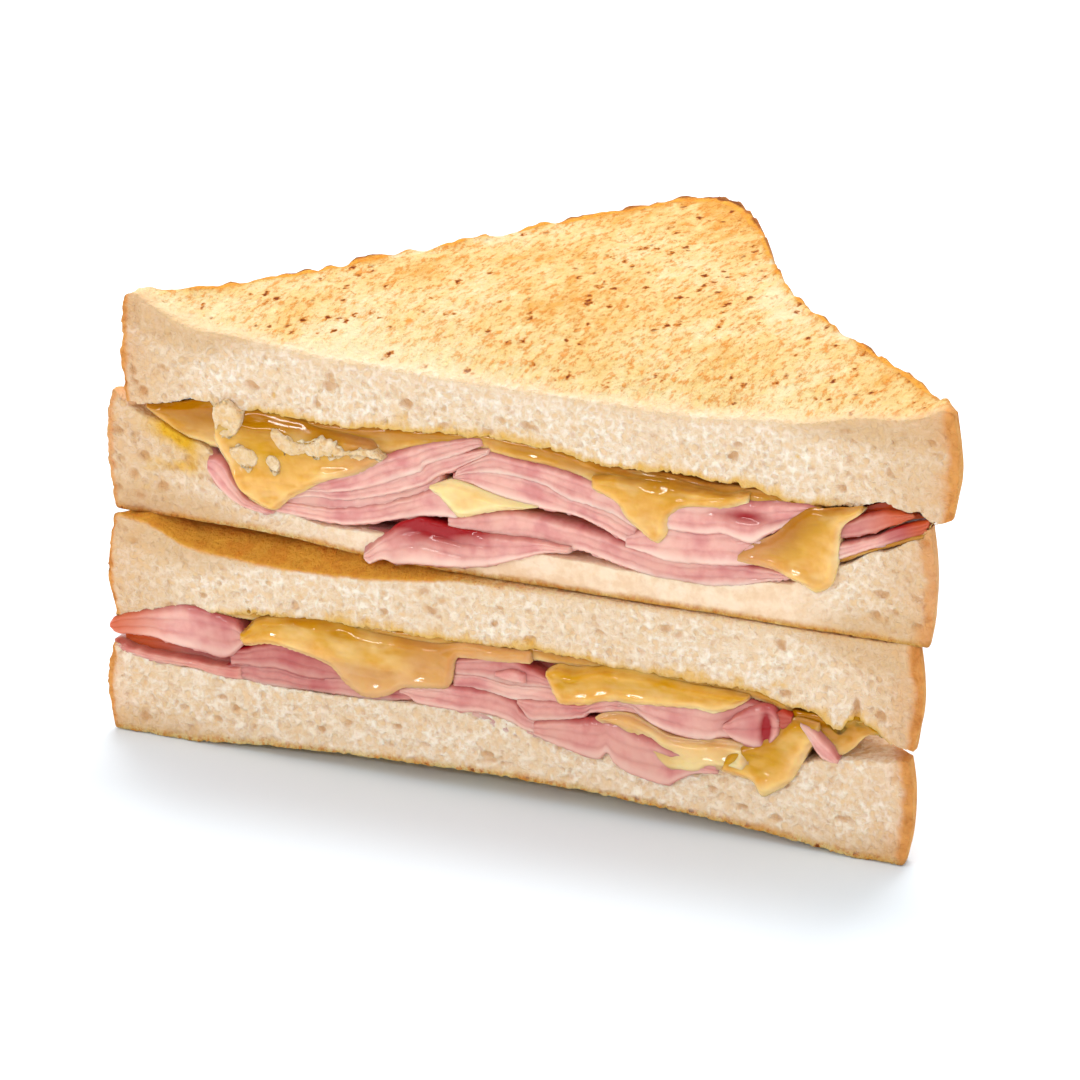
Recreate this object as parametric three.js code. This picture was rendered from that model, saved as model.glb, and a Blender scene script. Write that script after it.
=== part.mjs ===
// A toasted ham and cheese sandwich of thick white bread, cut corner to corner.
// Its two halves are stacked with their cut faces to the front (-Y), one on the other.
// Units are millimetres, +Z is up, and the cut runs along X.
import * as THREE from 'three';

// ---- driving dimensions ------------------------------------------------------

const UPPER_CUT = 150; // length of the cut face of the upper half
const LOWER_CUT = 148.5;
const HALF_DEPTH = 88; // from the cut face back to the far corner of the bread
const UPPER_SHIFT = 2; // the upper half sits this far to the right of the middle
const LOWER_SHIFT = -1.7;
const LOWER_FORWARD = 3; // the lower half stands this far in front of the upper one
const LOWER_LEAN = 3; // its cut leans back by this at the right end, from table to top

const CORNER_RADIUS = 7; // rounded corners of the loaf, as the cut goes through them
const FAR_CORNER_RADIUS = 7;
const WAIST = 7; // the loaf is narrower between its base and its domed top
const WAIST_PLACE = 0.46; // share of the right-hand side, from the far corner
const LEFT_BOW = 1.5;

const UPPER_FLOOR = 36.9; // underside of the upper half
const STACK_TOP = 77.9; // top of the stack over the middle of the cut halves
const NODE_GAP = 0.3; // air between touching pieces
const HIDDEN_EDGE_AIR = 0.5; // a sheet thins out by this on each face towards the crust
const THINNEST = 0.9; // least height of one layer of the filling with its air

const EDGE_BAND = 6; // layers keep the height of the cut edge this far in
const BLEND_DEPTH = 27; // and reach the level of the inside here
const CRUST_BULGE = 1.6; // the crust side swells outward in the middle of its height
const CRUST_ROUND = 1.7; // radius of the crust's upper and lower edge

const FRONT_STEPS = 38; // mesh steps along the cut face
const CORNER_STEPS = 2;
const RIGHT_STEPS = 6;
const FAR_STEPS = 3;
const LEFT_STEPS = 5;
const RING_SHARES = [0.45, 0.78]; // inner rings of every layer, as shares of the plan

// ---- small helpers -----------------------------------------------------------

const { clamp, lerp, smoothstep, degToRad } = THREE.MathUtils;

// A smooth curve through a few stations [x, value], level beyond its two ends.
function curve(...stations) {
  return (x) => {
    const next = stations.findIndex(([place]) => place > x);
    if (next === 0) return stations[0][1];
    if (next < 0) return stations[stations.length - 1][1];
    const [x0, a] = stations[next - 1];
    const [x1, b] = stations[next];
    return lerp(a, b, smoothstep(x, x0, x1));
  };
}

// A rounded hump of the given height between two places along the cut.
function hump(from, to, height) {
  const middle = (from + to) / 2;
  const reach = (to - from) / 2;
  return (x) => height * Math.max(0, 1 - ((x - middle) / reach) ** 2);
}

// Repeatable unevenness: three sines whose phases follow from a seed.
function unevenness(seed, size) {
  return (x) =>
    (size / 2.2) *
    (Math.sin(0.21 * x + seed) +
      0.7 * Math.sin(0.47 * x + 2.3 * seed) +
      0.5 * Math.sin(0.83 * x + 4.1 * seed));
}

// ---- the plan of one half, seen from above -----------------------------------

// The rim runs along the cut from left to right, then back round the crust.
function planOf(cutLength, shift) {
  const left = shift - cutLength / 2;
  const right = shift + cutLength / 2;
  const far = new THREE.Vector2(shift - 3.5, HALF_DEPTH + 2);
  const rim = [];
  for (let i = 0; i < FRONT_STEPS; i += 1) {
    rim.push(new THREE.Vector2(lerp(left, right, i / FRONT_STEPS), 0));
  }
  const rightDirection = new THREE.Vector2(right, 0).sub(far).normalize();
  const leftDirection = new THREE.Vector2(left, 0).sub(far).normalize();
  const rightEnd = cornerEnd(right - CORNER_RADIUS, rightDirection, 1);
  const leftEnd = cornerEnd(left + CORNER_RADIUS, leftDirection, -1);
  const rightFar = far.clone().addScaledVector(rightDirection, FAR_CORNER_RADIUS);
  const leftFar = far.clone().addScaledVector(leftDirection, FAR_CORNER_RADIUS);

  const crust = new THREE.CurvePath();
  crust.add(new THREE.QuadraticBezierCurve(
    new THREE.Vector2(right, 0),
    new THREE.Vector2(right, CORNER_RADIUS * 0.45),
    rightEnd,
  ));
  crust.add(bowedSide(rightEnd, rightFar, WAIST, 1 - WAIST_PLACE));
  crust.add(new THREE.QuadraticBezierCurve(rightFar, far, leftFar));
  crust.add(bowedSide(leftFar, leftEnd, LEFT_BOW, 0.5));
  crust.add(new THREE.QuadraticBezierCurve(
    leftEnd,
    new THREE.Vector2(left, CORNER_RADIUS * 0.45),
    new THREE.Vector2(left, 0),
  ));
  const steps = [CORNER_STEPS, RIGHT_STEPS, FAR_STEPS, LEFT_STEPS, CORNER_STEPS];
  crust.curves.forEach((piece, n) => {
    for (let i = 0; i < steps[n]; i += 1) rim.push(piece.getPoint(i / steps[n]));
  });
  return { rim, left, right, centre: new THREE.Vector2(shift - 1, HALF_DEPTH * 0.31) };
}

// Where the rounded corner at one end of the cut runs into the straight crust.
function cornerEnd(centreX, direction, side) {
  const outward = new THREE.Vector2(-direction.y * side, direction.x * side);
  return new THREE.Vector2(centreX, 0).addScaledVector(outward, CORNER_RADIUS);
}

// A crust side that bows inward by the given depth at a share of its length.
function bowedSide(start, end, depth, place) {
  const along = end.clone().sub(start);
  const inward = new THREE.Vector2(-along.y, along.x).normalize();
  const side = new THREE.Curve();
  side.getPoint = (t) => {
    const share = t < place ? t / (2 * place) : 0.5 + (t - place) / (2 * (1 - place));
    const bow = depth * Math.sin(Math.PI * share) ** 2;
    return start.clone().addScaledVector(along, t).addScaledVector(inward, bow);
  };
  return side;
}

// ---- faces between the layers ------------------------------------------------

// A face follows its own profile along the cut and eases to the inside level.
function face(profile, inside) {
  return (x, y) => {
    const share = clamp((y - EDGE_BAND) / (BLEND_DEPTH - EDGE_BAND), 0, 1);
    return lerp(profile(x), inside(x, y), share);
  };
}

// The faces of a filling, from the underside of one slice to the top of the next.
// Each layer keeps its least height, or an even share of it where bread meets bread.
function layersBetween(ceiling, floor, profiles) {
  const count = profiles.length + 1;
  const inner = profiles.map((profile, n) => {
    return (x, y) => {
      const top = ceiling(x, y);
      const bottom = floor(x, y);
      const least = Math.min(THINNEST, (top - bottom) / (count + 0.5));
      const level = lerp(top, bottom, (n + 1) / count);
      const share = clamp((y - EDGE_BAND) / (BLEND_DEPTH - EDGE_BAND), 0, 1);
      const wanted = lerp(profile(x), level, share);
      return clamp(wanted, bottom + least * (count - 1 - n), top - least * (n + 1));
    };
  });
  // A face may not rise above the one over it either.
  const ordered = inner.map((own, n) => (x, y) => {
    const least = Math.min(THINNEST, (ceiling(x, y) - floor(x, y)) / (count + 0.5));
    let height = inner[0](x, y);
    for (let i = 1; i <= n; i += 1) height = Math.min(inner[i](x, y), height - least);
    return height;
  });
  return [ceiling, ...ordered, floor];
}

// ---- one layer as a closed solid ---------------------------------------------

// A layer lies between two faces. Its rows run from the middle of the underside, out
// over the rings to the rim, up the side, and back over the rings to the middle on top.
function layer(name, plan, top, bottom, material, shape) {
  const { rim } = plan;
  const side = shape.side(plan, top, bottom);
  const rings = [0, ...RING_SHARES];
  const rows = [
    ...rings.map((share) => (i) => onRing(plan, bottom, i, share, NODE_GAP / 2)),
    ...side,
    ...rings.reverse().map((share) => (i) => onRing(plan, top, i, share, -NODE_GAP / 2)),
  ];
  const geometry = skin(rows.map((row) => rim.map((_, i) => row(i))));
  const mesh = new THREE.Mesh(geometry, material);
  mesh.name = name;
  return mesh;
}

// A closed skin over rows of points that each go once round. The quads on the upper half
// of the rows split the other way, so that two faces that meet are cut into triangles alike.
function skin(rows) {
  const count = rows[0].length;
  const corners = [];
  for (let r = 0; r < rows.length - 1; r += 1) {
    for (let i = 0; i < count; i += 1) {
      const next = (i + 1) % count;
      const [a, b, c, d] = [rows[r][i], rows[r][next], rows[r + 1][next], rows[r + 1][i]];
      if (r < rows.length / 2) corners.push(a, b, d, b, c, d);
      else corners.push(a, b, c, a, c, d);
    }
  }
  const geometry = new THREE.BufferGeometry().setFromPoints(corners);
  geometry.computeVertexNormals();
  return geometry;
}

function onRing(plan, faceHeight, i, share, lift) {
  const place = plan.centre.clone().lerp(plan.rim[i], share);
  return new THREE.Vector3(place.x, place.y, faceHeight(place.x, place.y) + lift);
}

// A point of a face near its rim. Beyond the last ring the face is straight along
// the spoke to the rim, so that neighbours with other outlines never cross.
function nearRim(plan, faceHeight, i, share, lift) {
  const last = RING_SHARES[RING_SHARES.length - 1];
  const inner = onRing(plan, faceHeight, i, last, lift);
  const outer = onRing(plan, faceHeight, i, 1, lift);
  return inner.lerp(outer, (share - last) / (1 - last));
}

// ---- slices of bread ---------------------------------------------------------

// The side of a slice: flat on the cut face, swelling and rounded along the crust. Past
// the filling, its left and right ends reach further out or less far than the plan.
function breadSide(seed, leftEnd, rightEnd) {
  const crumb = unevenness(seed, 0.35);
  const longer = (x) => rightEnd * smoothstep(x, 64, 77) + leftEnd * smoothstep(-x, 64, 77);
  const levels = [
    { up: 0, rise: 0, out: -CRUST_ROUND },
    { up: 0, rise: CRUST_ROUND, out: -0.2 },
    { up: 0.5, rise: 0, out: CRUST_BULGE },
    { up: 1, rise: -CRUST_ROUND, out: -0.2 },
    { up: 1, rise: 0, out: -CRUST_ROUND },
  ];
  return (plan, top, bottom) => levels.map((level, n) => (i) => {
    const spoke = plan.rim[i].clone().sub(plan.centre);
    const length = spoke.length();
    const reach = 1 + longer(plan.rim[i].x) / Math.max(1, Math.abs(spoke.x));
    const low = nearRim(plan, bottom, i, reach, NODE_GAP / 2);
    const high = nearRim(plan, top, i, reach, -NODE_GAP / 2);
    if (i > 0 && i < FRONT_STEPS) {
      const between = n > 0 && n < levels.length - 1;
      const point = low.lerp(high, n / (levels.length - 1));
      return point.setY(between ? crumb(point.x * (1 + n / 2) + 7 * n) : 0);
    }
    if (level.rise === 0 && level.out < 0) {
      const near = level.up === 0 ? bottom : top;
      return nearRim(plan, near, i, reach + level.out / length, (0.5 - level.up) * NODE_GAP);
    }
    const point = low.clone().lerp(high, level.up);
    const outward = i === 0 || i === FRONT_STEPS ? spoke.setY(0) : spoke;
    outward.normalize().multiplyScalar(level.out);
    return point.add(new THREE.Vector3(outward.x, outward.y, level.rise));
  });
}

function slice(name, plan, top, bottom, { seed, leftEnd, rightEnd }) {
  const material = new THREE.MeshStandardMaterial({ color: 0xf1e3c4, roughness: 0.9, metalness: 0 });
  return layer(name, plan, top, bottom, material, { side: breadSide(seed, leftEnd, rightEnd) });
}

// ---- sheets of ham and cheese ------------------------------------------------

// The share of a spoke that a sheet covers: short of the crust, short of its two ends
// and set back along the cut by its own ragged edge.
function sheetReach(plan, shape, i) {
  const spoke = plan.rim[i].clone().sub(plan.centre);
  const length = spoke.length();
  const { x } = plan.rim[i];
  const onCut = i <= FRONT_STEPS;
  const inset = onCut ? shape.setBack(x) * (length / plan.centre.y) : shape.inset;
  const end = x < plan.centre.x ? shape.from : shape.to;
  const toEnd = (end - plan.centre.x) / (x - plan.centre.x);
  const least = RING_SHARES[RING_SHARES.length - 1] + 0.015;
  return Math.max(least, Math.min(1 - inset / length, toEnd));
}

// The side of a sheet. Where a lobe hangs, the edge goes out past the layers below it
// and down in front of them.
function sheetSide(shape) {
  const { lobes = [], clear = 0.6, swell = 0 } = shape;
  const levels = lobes.length ? [0, 0.34, 0.67, 1] : [0, 1];
  const hang = (x) => Math.max(0, ...lobes.map((lobe) => lobe(x)));
  return (plan, top, bottom) => levels.map((up, n) => (i) => {
    const { x } = plan.rim[i];
    const step = (plan.right - plan.left) / FRONT_STEPS;
    const onCut = i > 0 && i < FRONT_STEPS;
    const drop = onCut ? hang(x) : 0;
    const atLobe = onCut && Math.max(drop, hang(x - step), hang(x + step)) > 0;
    const share = atLobe ? 1 + clear / plan.centre.y : sheetReach(plan, shape, i);
    const air = onCut ? NODE_GAP / 2 : HIDDEN_EDGE_AIR;
    const low = nearRim(plan, bottom, i, share, air);
    const high = nearRim(plan, top, i, share, -air);
    const point = low.clone().lerp(high, up);
    if (drop > 0) {
      const thick = Math.min(1.4, 0.5 + drop * 0.35);
      const out = [0, 0, thick, thick * 0.8][n];
      const fall = [0, drop * 0.9, drop, thick * 0.35][n];
      point.set(low.x, low.y - out, (n < 3 ? low.z : high.z) - fall);
    } else if (n > 0 && n < levels.length - 1) {
      const outward = plan.rim[i].clone().sub(plan.centre).setLength(swell);
      point.x += outward.x;
      point.y += outward.y;
    }
    return point;
  });
}

function ham(name, plan, top, bottom, shape) {
  const material = new THREE.MeshStandardMaterial({ color: 0xe2a196, roughness: 0.5, metalness: 0 });
  return layer(name, plan, top, bottom, material, { side: sheetSide(shape) });
}

function cheese(name, plan, top, bottom, shape) {
  const material = new THREE.MeshStandardMaterial({ color: 0xe3bb3c, roughness: 0.3, metalness: 0 });
  return layer(name, plan, top, bottom, material, { side: sheetSide(shape) });
}

// A narrow loose strip of ham that leans against the cut face.
function sliver(name, middle) {
  const outline = new THREE.Shape().absellipse(0, 0, 1.1, 4.2, 0, 2 * Math.PI);
  const geometry = new THREE.ExtrudeGeometry(outline, { depth: 1.1, bevelEnabled: false, curveSegments: 8 });
  geometry.rotateZ(degToRad(35)).rotateX(Math.PI / 2).translate(middle.x, middle.y, middle.z);
  const material = new THREE.MeshStandardMaterial({ color: 0xd9897c, roughness: 0.5, metalness: 0 });
  const mesh = new THREE.Mesh(geometry, material);
  mesh.name = name;
  return mesh;
}

// ---- the upper half ----------------------------------------------------------

function upperHalf() {
  const plan = planOf(UPPER_CUT, UPPER_SHIFT);
  const inset = 5;
  const from = -61;
  const to = 63;

  const crown = face(
    curve(
      [-73, 76.6], [-58, 72.2], [-31, 70.5], [-4, 70.1],
      [28, 69.9], [46, 71.3], [62, 74.2], [77, 77],
    ),
    (x, y) => STACK_TOP + 0.008 * x + 0.022 * y,
  );
  const ceiling = face(
    curve(
      [-73, 58.2], [-58, 59.8], [-34, 58.9], [-2, 60.8], [17, 59],
      [28, 59.7], [53, 57.6], [63, 59], [77, 60],
    ),
    () => 59.6,
  );
  const seat = face(
    curve(
      [-73, 56.7], [-60, 52.9], [-49, 45], [-36, 41.6], [0, 42.7],
      [32, 41.9], [46, 44.2], [63, 52.3], [77, 57.5],
    ),
    (x, y) => 50.5 + 0.045 * y,
  );
  const lift = curve([-66, 2.7], [-20, 0]); // the left end of the slice curls up
  const floor = (x, y) => UPPER_FLOOR + lift(x) * (1 - smoothstep(y, 4, 30));

  const faces = layersBetween(ceiling, seat, [
    curve(
      [-61, 57.2], [-46, 54.6], [-30, 55.6], [-8, 59.1],
      [15, 56.2], [40, 56.6], [57, 57.4], [63, 58],
    ),
    curve(
      [-61, 56], [-45, 51.5], [-29, 49.6], [-17, 54.2], [-7, 56],
      [8, 54.2], [20, 51.8], [34, 51], [56, 55.3],
    ),
    curve(
      [-61, 55], [-45, 49.6], [-38, 46.3], [-27, 47.8], [-17, 51.4],
      [-7, 52.9], [9, 49.6], [34, 48.4], [57, 53.2],
    ),
    curve(
      [-61, 54], [-45, 48], [-38, 44.9], [-27, 46], [-17, 48.4],
      [-7, 47.6], [8, 48.2], [34, 46.2], [57, 52],
    ),
    curve(
      [-61, 53], [-45, 46.7], [-36, 43], [-20, 45.4], [0, 45.6],
      [20, 43.7], [34, 44], [46, 46.4], [57, 50.6],
    ),
  ]);

  return [
    slice('upper_bread_top', plan, crown, faces[0], { seed: 1, leftEnd: 0, rightEnd: -2.2 }),
    cheese('upper_cheese_top', plan, faces[0], faces[1], {
      from, to, inset: 3.5, swell: 0.4, clear: 2.2,
      setBack: (x) => 0.8 + unevenness(2, 0.5)(x),
      lobes: [hump(-56, -36, 11), hump(14, 31, 9), hump(38, 61, 13.5)],
    }),
    ham('upper_ham_1', plan, faces[1], faces[2], {
      from, to, inset, setBack: (x) => 0.9 + unevenness(3, 0.8)(x),
    }),
    ham('upper_ham_2', plan, faces[2], faces[3], {
      from, to, inset: inset + 1, setBack: (x) => 0.7 + unevenness(5, 0.6)(x),
    }),
    cheese('upper_cheese_middle', plan, faces[3], faces[4], {
      from: from + 2, to: to - 2, inset: inset + 1, swell: 0.2,
      setBack: (x) => 1 + hump(2, 24, 2.8)(x),
    }),
    ham('upper_ham_3', plan, faces[4], faces[5], {
      from: from + 1, to: to - 1, inset, setBack: (x) => 0.8 + unevenness(7, 0.7)(x),
      lobes: [hump(-61, -45, 3.6)],
    }),
    ham('upper_ham_4', plan, faces[5], faces[6], {
      from: from + 2, to: to - 3, inset: inset + 1, setBack: (x) => 0.7 + unevenness(9, 0.5)(x),
      lobes: [hump(-34, 8, 4.6)],
    }),
    slice('upper_bread_bottom', plan, faces[6], floor, { seed: 4, leftEnd: 3.4, rightEnd: -5.6 }),
  ];
}

// ---- the lower half ----------------------------------------------------------

function lowerHalf() {
  const plan = planOf(LOWER_CUT, LOWER_SHIFT);
  const inset = 5;
  const from = -67;
  const to = 59;

  const dip = hump(-72, -12, 2.2); // the toast slopes down to its cut edge at the left
  const crown = (x, y) => UPPER_FLOOR - dip(x) * (1 - smoothstep(y, 0, 12));
  const ceiling = face(
    curve(
      [-76, 20.4], [-63, 22.9], [-34, 25.2], [5, 26],
      [22, 25.4], [45, 26], [60, 22.6], [72, 19.9],
    ),
    () => 24.6,
  );
  const seat = face(
    curve(
      [-76, 16], [-66, 13.6], [-40, 12.8], [-10, 14.2],
      [10, 13.4], [45, 13.6], [58, 16.4], [72, 18.2],
    ),
    (x, y) => 15.6 + 0.025 * y,
  );
  const arch = hump(-60, 60, 3.3); // the cut edge of the bottom slice lifts off the table
  const floor = (x, y) => arch(x) * (1 - smoothstep(y, 0, 26)) - NODE_GAP / 2;

  const faces = layersBetween(ceiling, seat, [
    curve(
      [-74, 19.4], [-62, 22], [-30, 23.2], [5, 24],
      [22, 23.6], [40, 23.6], [52, 22.6], [62, 20.9],
    ),
    curve(
      [-72, 17.9], [-60, 17.4], [-38, 19], [-12, 20.6],
      [3, 19.6], [22, 20.6], [50, 20], [60, 19.7],
    ),
    curve(
      [-71, 16.9], [-57, 15.9], [-30, 17.4], [-12, 18.4],
      [3, 17.9], [28, 17.6], [40, 18.6], [60, 18.8],
    ),
    curve(
      [-70, 15.7], [-57, 14.9], [-30, 15.9], [-12, 17],
      [10, 16.2], [28, 16], [40, 17], [59, 17.9],
    ),
    curve(
      [-69, 14.6], [-57, 13.9], [-25, 14.3], [-10, 15.6],
      [15, 14.8], [30, 14.6], [45, 15.4], [58, 17],
    ),
  ]);

  return [
    slice('lower_bread_top', plan, crown, faces[0], { seed: 6, leftEnd: -1.4, rightEnd: -2.8 }),
    cheese('lower_cheese_top', plan, faces[0], faces[1], {
      from, to, inset: 3.5, swell: 0.4,
      setBack: (x) => 0.8 + unevenness(4, 0.5)(x),
      lobes: [hump(-46, -9, 9), hump(3, 17, 5.4)],
    }),
    ham('lower_ham_1', plan, faces[1], faces[2], {
      from: from - 6, to, inset, setBack: (x) => 0.8 + unevenness(6, 0.7)(x),
    }),
    cheese('lower_cheese_middle', plan, faces[2], faces[3], {
      from: from + 2, to: to - 2, inset: inset + 1, swell: 0.2, clear: 2.3,
      setBack: (x) => 0.9 + hump(-80, -50, 2.6)(x),
      lobes: [hump(19, 36, 8), hump(36, 49, 9.5)],
    }),
    ham('lower_ham_2', plan, faces[3], faces[4], {
      from, to, inset, setBack: (x) => 0.8 + unevenness(8, 0.7)(x),
    }),
    ham('lower_ham_3', plan, faces[4], faces[5], {
      from: from + 1, to: to - 1, inset: inset + 1, setBack: (x) => 0.9 + unevenness(11, 0.8)(x),
    }),
    ham('lower_ham_4', plan, faces[5], faces[6], {
      from: from + 2, to: to - 1, inset, setBack: (x) => 0.7 + unevenness(13, 0.6)(x),
      lobes: [hump(2, 35, 6)],
    }),
    sliver('lower_ham_sliver', new THREE.Vector3(55.6, -1.2, 19)),
    slice('lower_bread_bottom', plan, faces[6], floor, { seed: 8, leftEnd: -0.6, rightEnd: -3.4 }),
  ];
}

// The knife came down at a slant: the cut of the lower half leans back to the right.
function lean(mesh) {
  const place = mesh.geometry.getAttribute('position');
  for (let i = 0; i < place.count; i += 1) {
    const rise = clamp(place.getZ(i) / UPPER_FLOOR, 0, 1);
    const right = smoothstep(place.getX(i), -50, 60);
    const near = 1 - smoothstep(place.getY(i), 0, 50);
    place.setY(i, place.getY(i) + LOWER_LEAN * rise * right * near);
  }
  mesh.geometry.computeVertexNormals();
}

// ---- the whole sandwich ------------------------------------------------------

const lower = new THREE.Group();
lower.add(...lowerHalf());
lower.children.forEach(lean);
lower.position.y = -LOWER_FORWARD;

const upper = new THREE.Group();
upper.add(...upperHalf());

// The origin is at the middle of the box that holds the sandwich, on the table.
const stack = new THREE.Group();
stack.add(lower, upper);
const box = new THREE.Box3().setFromObject(stack, true);
const middle = box.getCenter(new THREE.Vector3());
stack.position.set(-middle.x, -middle.y, -box.min.z);

const sandwich = new THREE.Group();
sandwich.add(stack);

export default sandwich;
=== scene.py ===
# %% [markdown]
# # A toasted ham and cheese sandwich
# The real object is two thick slices of white bread with ham and melted cheese between
# them, toasted and cut corner to corner. Its two halves are stacked, cut faces forward.
# The frame brings the solid model of every layer. This script gives each layer its real
# surface: open crumb on the cut, toast on the outside, ragged ham and running cheese.

# %% The frame
import math
from functools import partial
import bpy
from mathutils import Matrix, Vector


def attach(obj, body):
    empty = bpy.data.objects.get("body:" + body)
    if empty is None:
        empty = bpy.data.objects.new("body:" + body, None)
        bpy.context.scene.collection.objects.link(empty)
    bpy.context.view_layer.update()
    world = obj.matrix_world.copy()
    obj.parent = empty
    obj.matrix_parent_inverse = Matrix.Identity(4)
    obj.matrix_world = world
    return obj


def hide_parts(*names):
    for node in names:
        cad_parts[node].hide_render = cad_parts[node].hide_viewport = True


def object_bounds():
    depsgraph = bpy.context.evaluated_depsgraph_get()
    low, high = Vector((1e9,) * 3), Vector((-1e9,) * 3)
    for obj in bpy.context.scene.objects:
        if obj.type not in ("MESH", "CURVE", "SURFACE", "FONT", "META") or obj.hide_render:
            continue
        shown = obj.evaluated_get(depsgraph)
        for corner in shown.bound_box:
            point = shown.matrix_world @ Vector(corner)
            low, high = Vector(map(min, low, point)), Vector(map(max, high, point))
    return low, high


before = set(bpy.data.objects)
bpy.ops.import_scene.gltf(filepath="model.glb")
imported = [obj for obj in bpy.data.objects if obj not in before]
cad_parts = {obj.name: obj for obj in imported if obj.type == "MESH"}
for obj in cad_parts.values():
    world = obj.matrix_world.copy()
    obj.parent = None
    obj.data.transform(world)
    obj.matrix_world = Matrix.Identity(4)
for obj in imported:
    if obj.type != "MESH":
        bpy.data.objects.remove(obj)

from types import SimpleNamespace

import bmesh
import bpy
import numpy as np
from mathutils import Vector

MM = 0.001
CAD_BOX = [list(corner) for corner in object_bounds()]
print("frame:", len(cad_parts), "nodes, box in mm",
      [round((high - low) / MM, 1) for low, high in zip(*CAD_BOX)])

# %% [markdown]
# ## Camera
# A sandwich on a table is looked at from a little above, from the side of its cut. A long
# lens keeps its layers parallel. Everything about the sandwich is written in millimetres
# with the cut of the upper half at y = 0, so one helper moves such a place into the
# frame, whose origin is the middle of the whole box.

# %% The camera
CUT_TO_ORIGIN = (0.416, -41.3, 0.0)  # from the middle of the cut to the frame, in mm


def in_frame(x, y, z):
    """A place in millimetres from the middle of the cut, as a point of the frame."""
    return Vector((x + CUT_TO_ORIGIN[0], y + CUT_TO_ORIGIN[1], z + CUT_TO_ORIGIN[2])) * MM


AZIMUTH, ELEVATION = math.radians(24.49), math.radians(20.22)
CAMERA_DISTANCE = 0.976
LOOK_AT = in_frame(3.23, 0.0, 44.97)

camera_data = bpy.data.cameras.new("camera")
camera_data.sensor_width = 36.0
camera_data.lens = 200.0
camera = bpy.data.objects.new("camera", camera_data)
bpy.context.scene.collection.objects.link(camera)
back = Vector((math.sin(AZIMUTH) * math.cos(ELEVATION),
               -math.cos(AZIMUTH) * math.cos(ELEVATION),
               math.sin(ELEVATION)))
camera.location = LOOK_AT + back * CAMERA_DISTANCE
camera.rotation_mode = "QUATERNION"
camera.rotation_quaternion = (-back).to_track_quat("-Z", "Y")
bpy.context.scene.camera = camera
print("camera stands", round(camera.location.z / MM), "mm above the table")

# %% [markdown]
# ## Floor
# White card under the food keeps attention on it and sends light back up onto the cut
# faces. Bread and cheese throw warm light on the card, so its own colour is a little cool.

# %% The floor
def principled(name, **sockets):
    """A new material with the given sockets of its surface shader set."""
    material = bpy.data.materials.new(name)
    material.use_nodes = True
    surface = material.node_tree.nodes["Principled BSDF"]
    for socket, value in sockets.items():
        surface.inputs[socket.replace("_", " ")].default_value = value
    return material, surface


floor_mesh = bpy.data.meshes.new("floor")
sheet = bmesh.new()
bmesh.ops.create_grid(sheet, x_segments=1, y_segments=1, size=3.0)
sheet.to_mesh(floor_mesh)
sheet.free()
floor = bpy.data.objects.new("floor", floor_mesh)
bpy.context.scene.collection.objects.link(floor)
floor_paint, _ = principled("white_floor", Base_Color=(0.83, 0.9, 0.96, 1), Roughness=0.9)
floor_mesh.materials.append(floor_paint)
print("floor:", floor.dimensions.x, "m wide")

# %% [markdown]
# ## Light
# Food looks fresh in broad soft light from above and a little behind, which skims over the
# crumb and leaves a soft shadow in front. A bright even world fills the shadows. Wet
# cheese would mirror that white world and turn grey, so the world is hidden from gloss,
# and two small lights in front draw its highlights instead.

# %% The lights
world = bpy.data.worlds.new("studio")
world.use_nodes = True
world.node_tree.nodes["Background"].inputs["Color"].default_value = (1.0, 1.0, 1.0, 1)
world.node_tree.nodes["Background"].inputs["Strength"].default_value = 0.85
world.cycles_visibility.glossy = False
bpy.context.scene.world = world
bpy.context.scene.view_settings.view_transform = "Standard"


def softbox(name, place, aim, width, height, power):
    """A rectangular soft light at a place in metres, aimed at another."""
    light = bpy.data.lights.new(name, "AREA")
    light.shape = "RECTANGLE"
    light.size, light.size_y = width, height
    light.energy = power
    lamp = bpy.data.objects.new(name, light)
    bpy.context.scene.collection.objects.link(lamp)
    lamp.location = place
    lamp.rotation_mode = "QUATERNION"
    lamp.rotation_quaternion = (Vector(aim) - Vector(place)).to_track_quat("-Z", "Y")


softbox("overhead", (-0.15, 0.45, 0.9), (0, 0, 0.05), 0.7, 0.5, 9.4)
softbox("front_left", (-0.42, -1.0, 0.5), (0, 0, 0.04), 0.3, 0.07, 2.2)
softbox("front_right", (0.55, -0.9, 0.55), (0, 0, 0.04), 0.06, 0.14, 0.8)

# %% [markdown]
# ## The plan of one half
# Cut corner to corner, a square slice becomes a triangle. The loaf has a narrower waist
# under its domed top, so one crust side bows inward, and the corners are round. A simple
# triangle of mesh is stretched along spokes from its middle until its rim meets the real
# rim, because that keeps the mesh even and the cut edge straight.

# %% The real rim and the simple triangle
HALF_DEPTH = 88.0
CORNER_RADIUS = 7.0
FAR_RADIUS = 10.0
WAIST = 7.0
WAIST_PLACE = 0.54
LEFT_BOW = 1.5
LAST_SPOKE = -2.0  # radians; a spoke that turns further back counts as a full turn on


def bezier(start, pull, end, count=12):
    """Points on a quadratic curve."""
    t = np.linspace(0, 1, count)[:, None]
    return (1 - t) ** 2 * start + 2 * t * (1 - t) * pull + t ** 2 * end


def bowed(start, end, depth, place, count=60):
    """Points on a side that bows to its left by a depth at a share of its length."""
    t = np.linspace(0, 1, count)[:, None]
    along = end - start
    inward = np.array([-along[1], along[0]]) / np.linalg.norm(along)
    share = np.where(t < place, t / (2 * place), 0.5 + (t - place) / (2 * (1 - place)))
    return start + along * t + inward * depth * np.sin(np.pi * share) ** 2


def turn_of(away):
    """The angle of each spoke, in one unbroken order along the rim."""
    angle = np.arctan2(away[:, 1], away[:, 0])
    return np.where(angle < LAST_SPOKE, angle + 2 * math.pi, angle)


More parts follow.
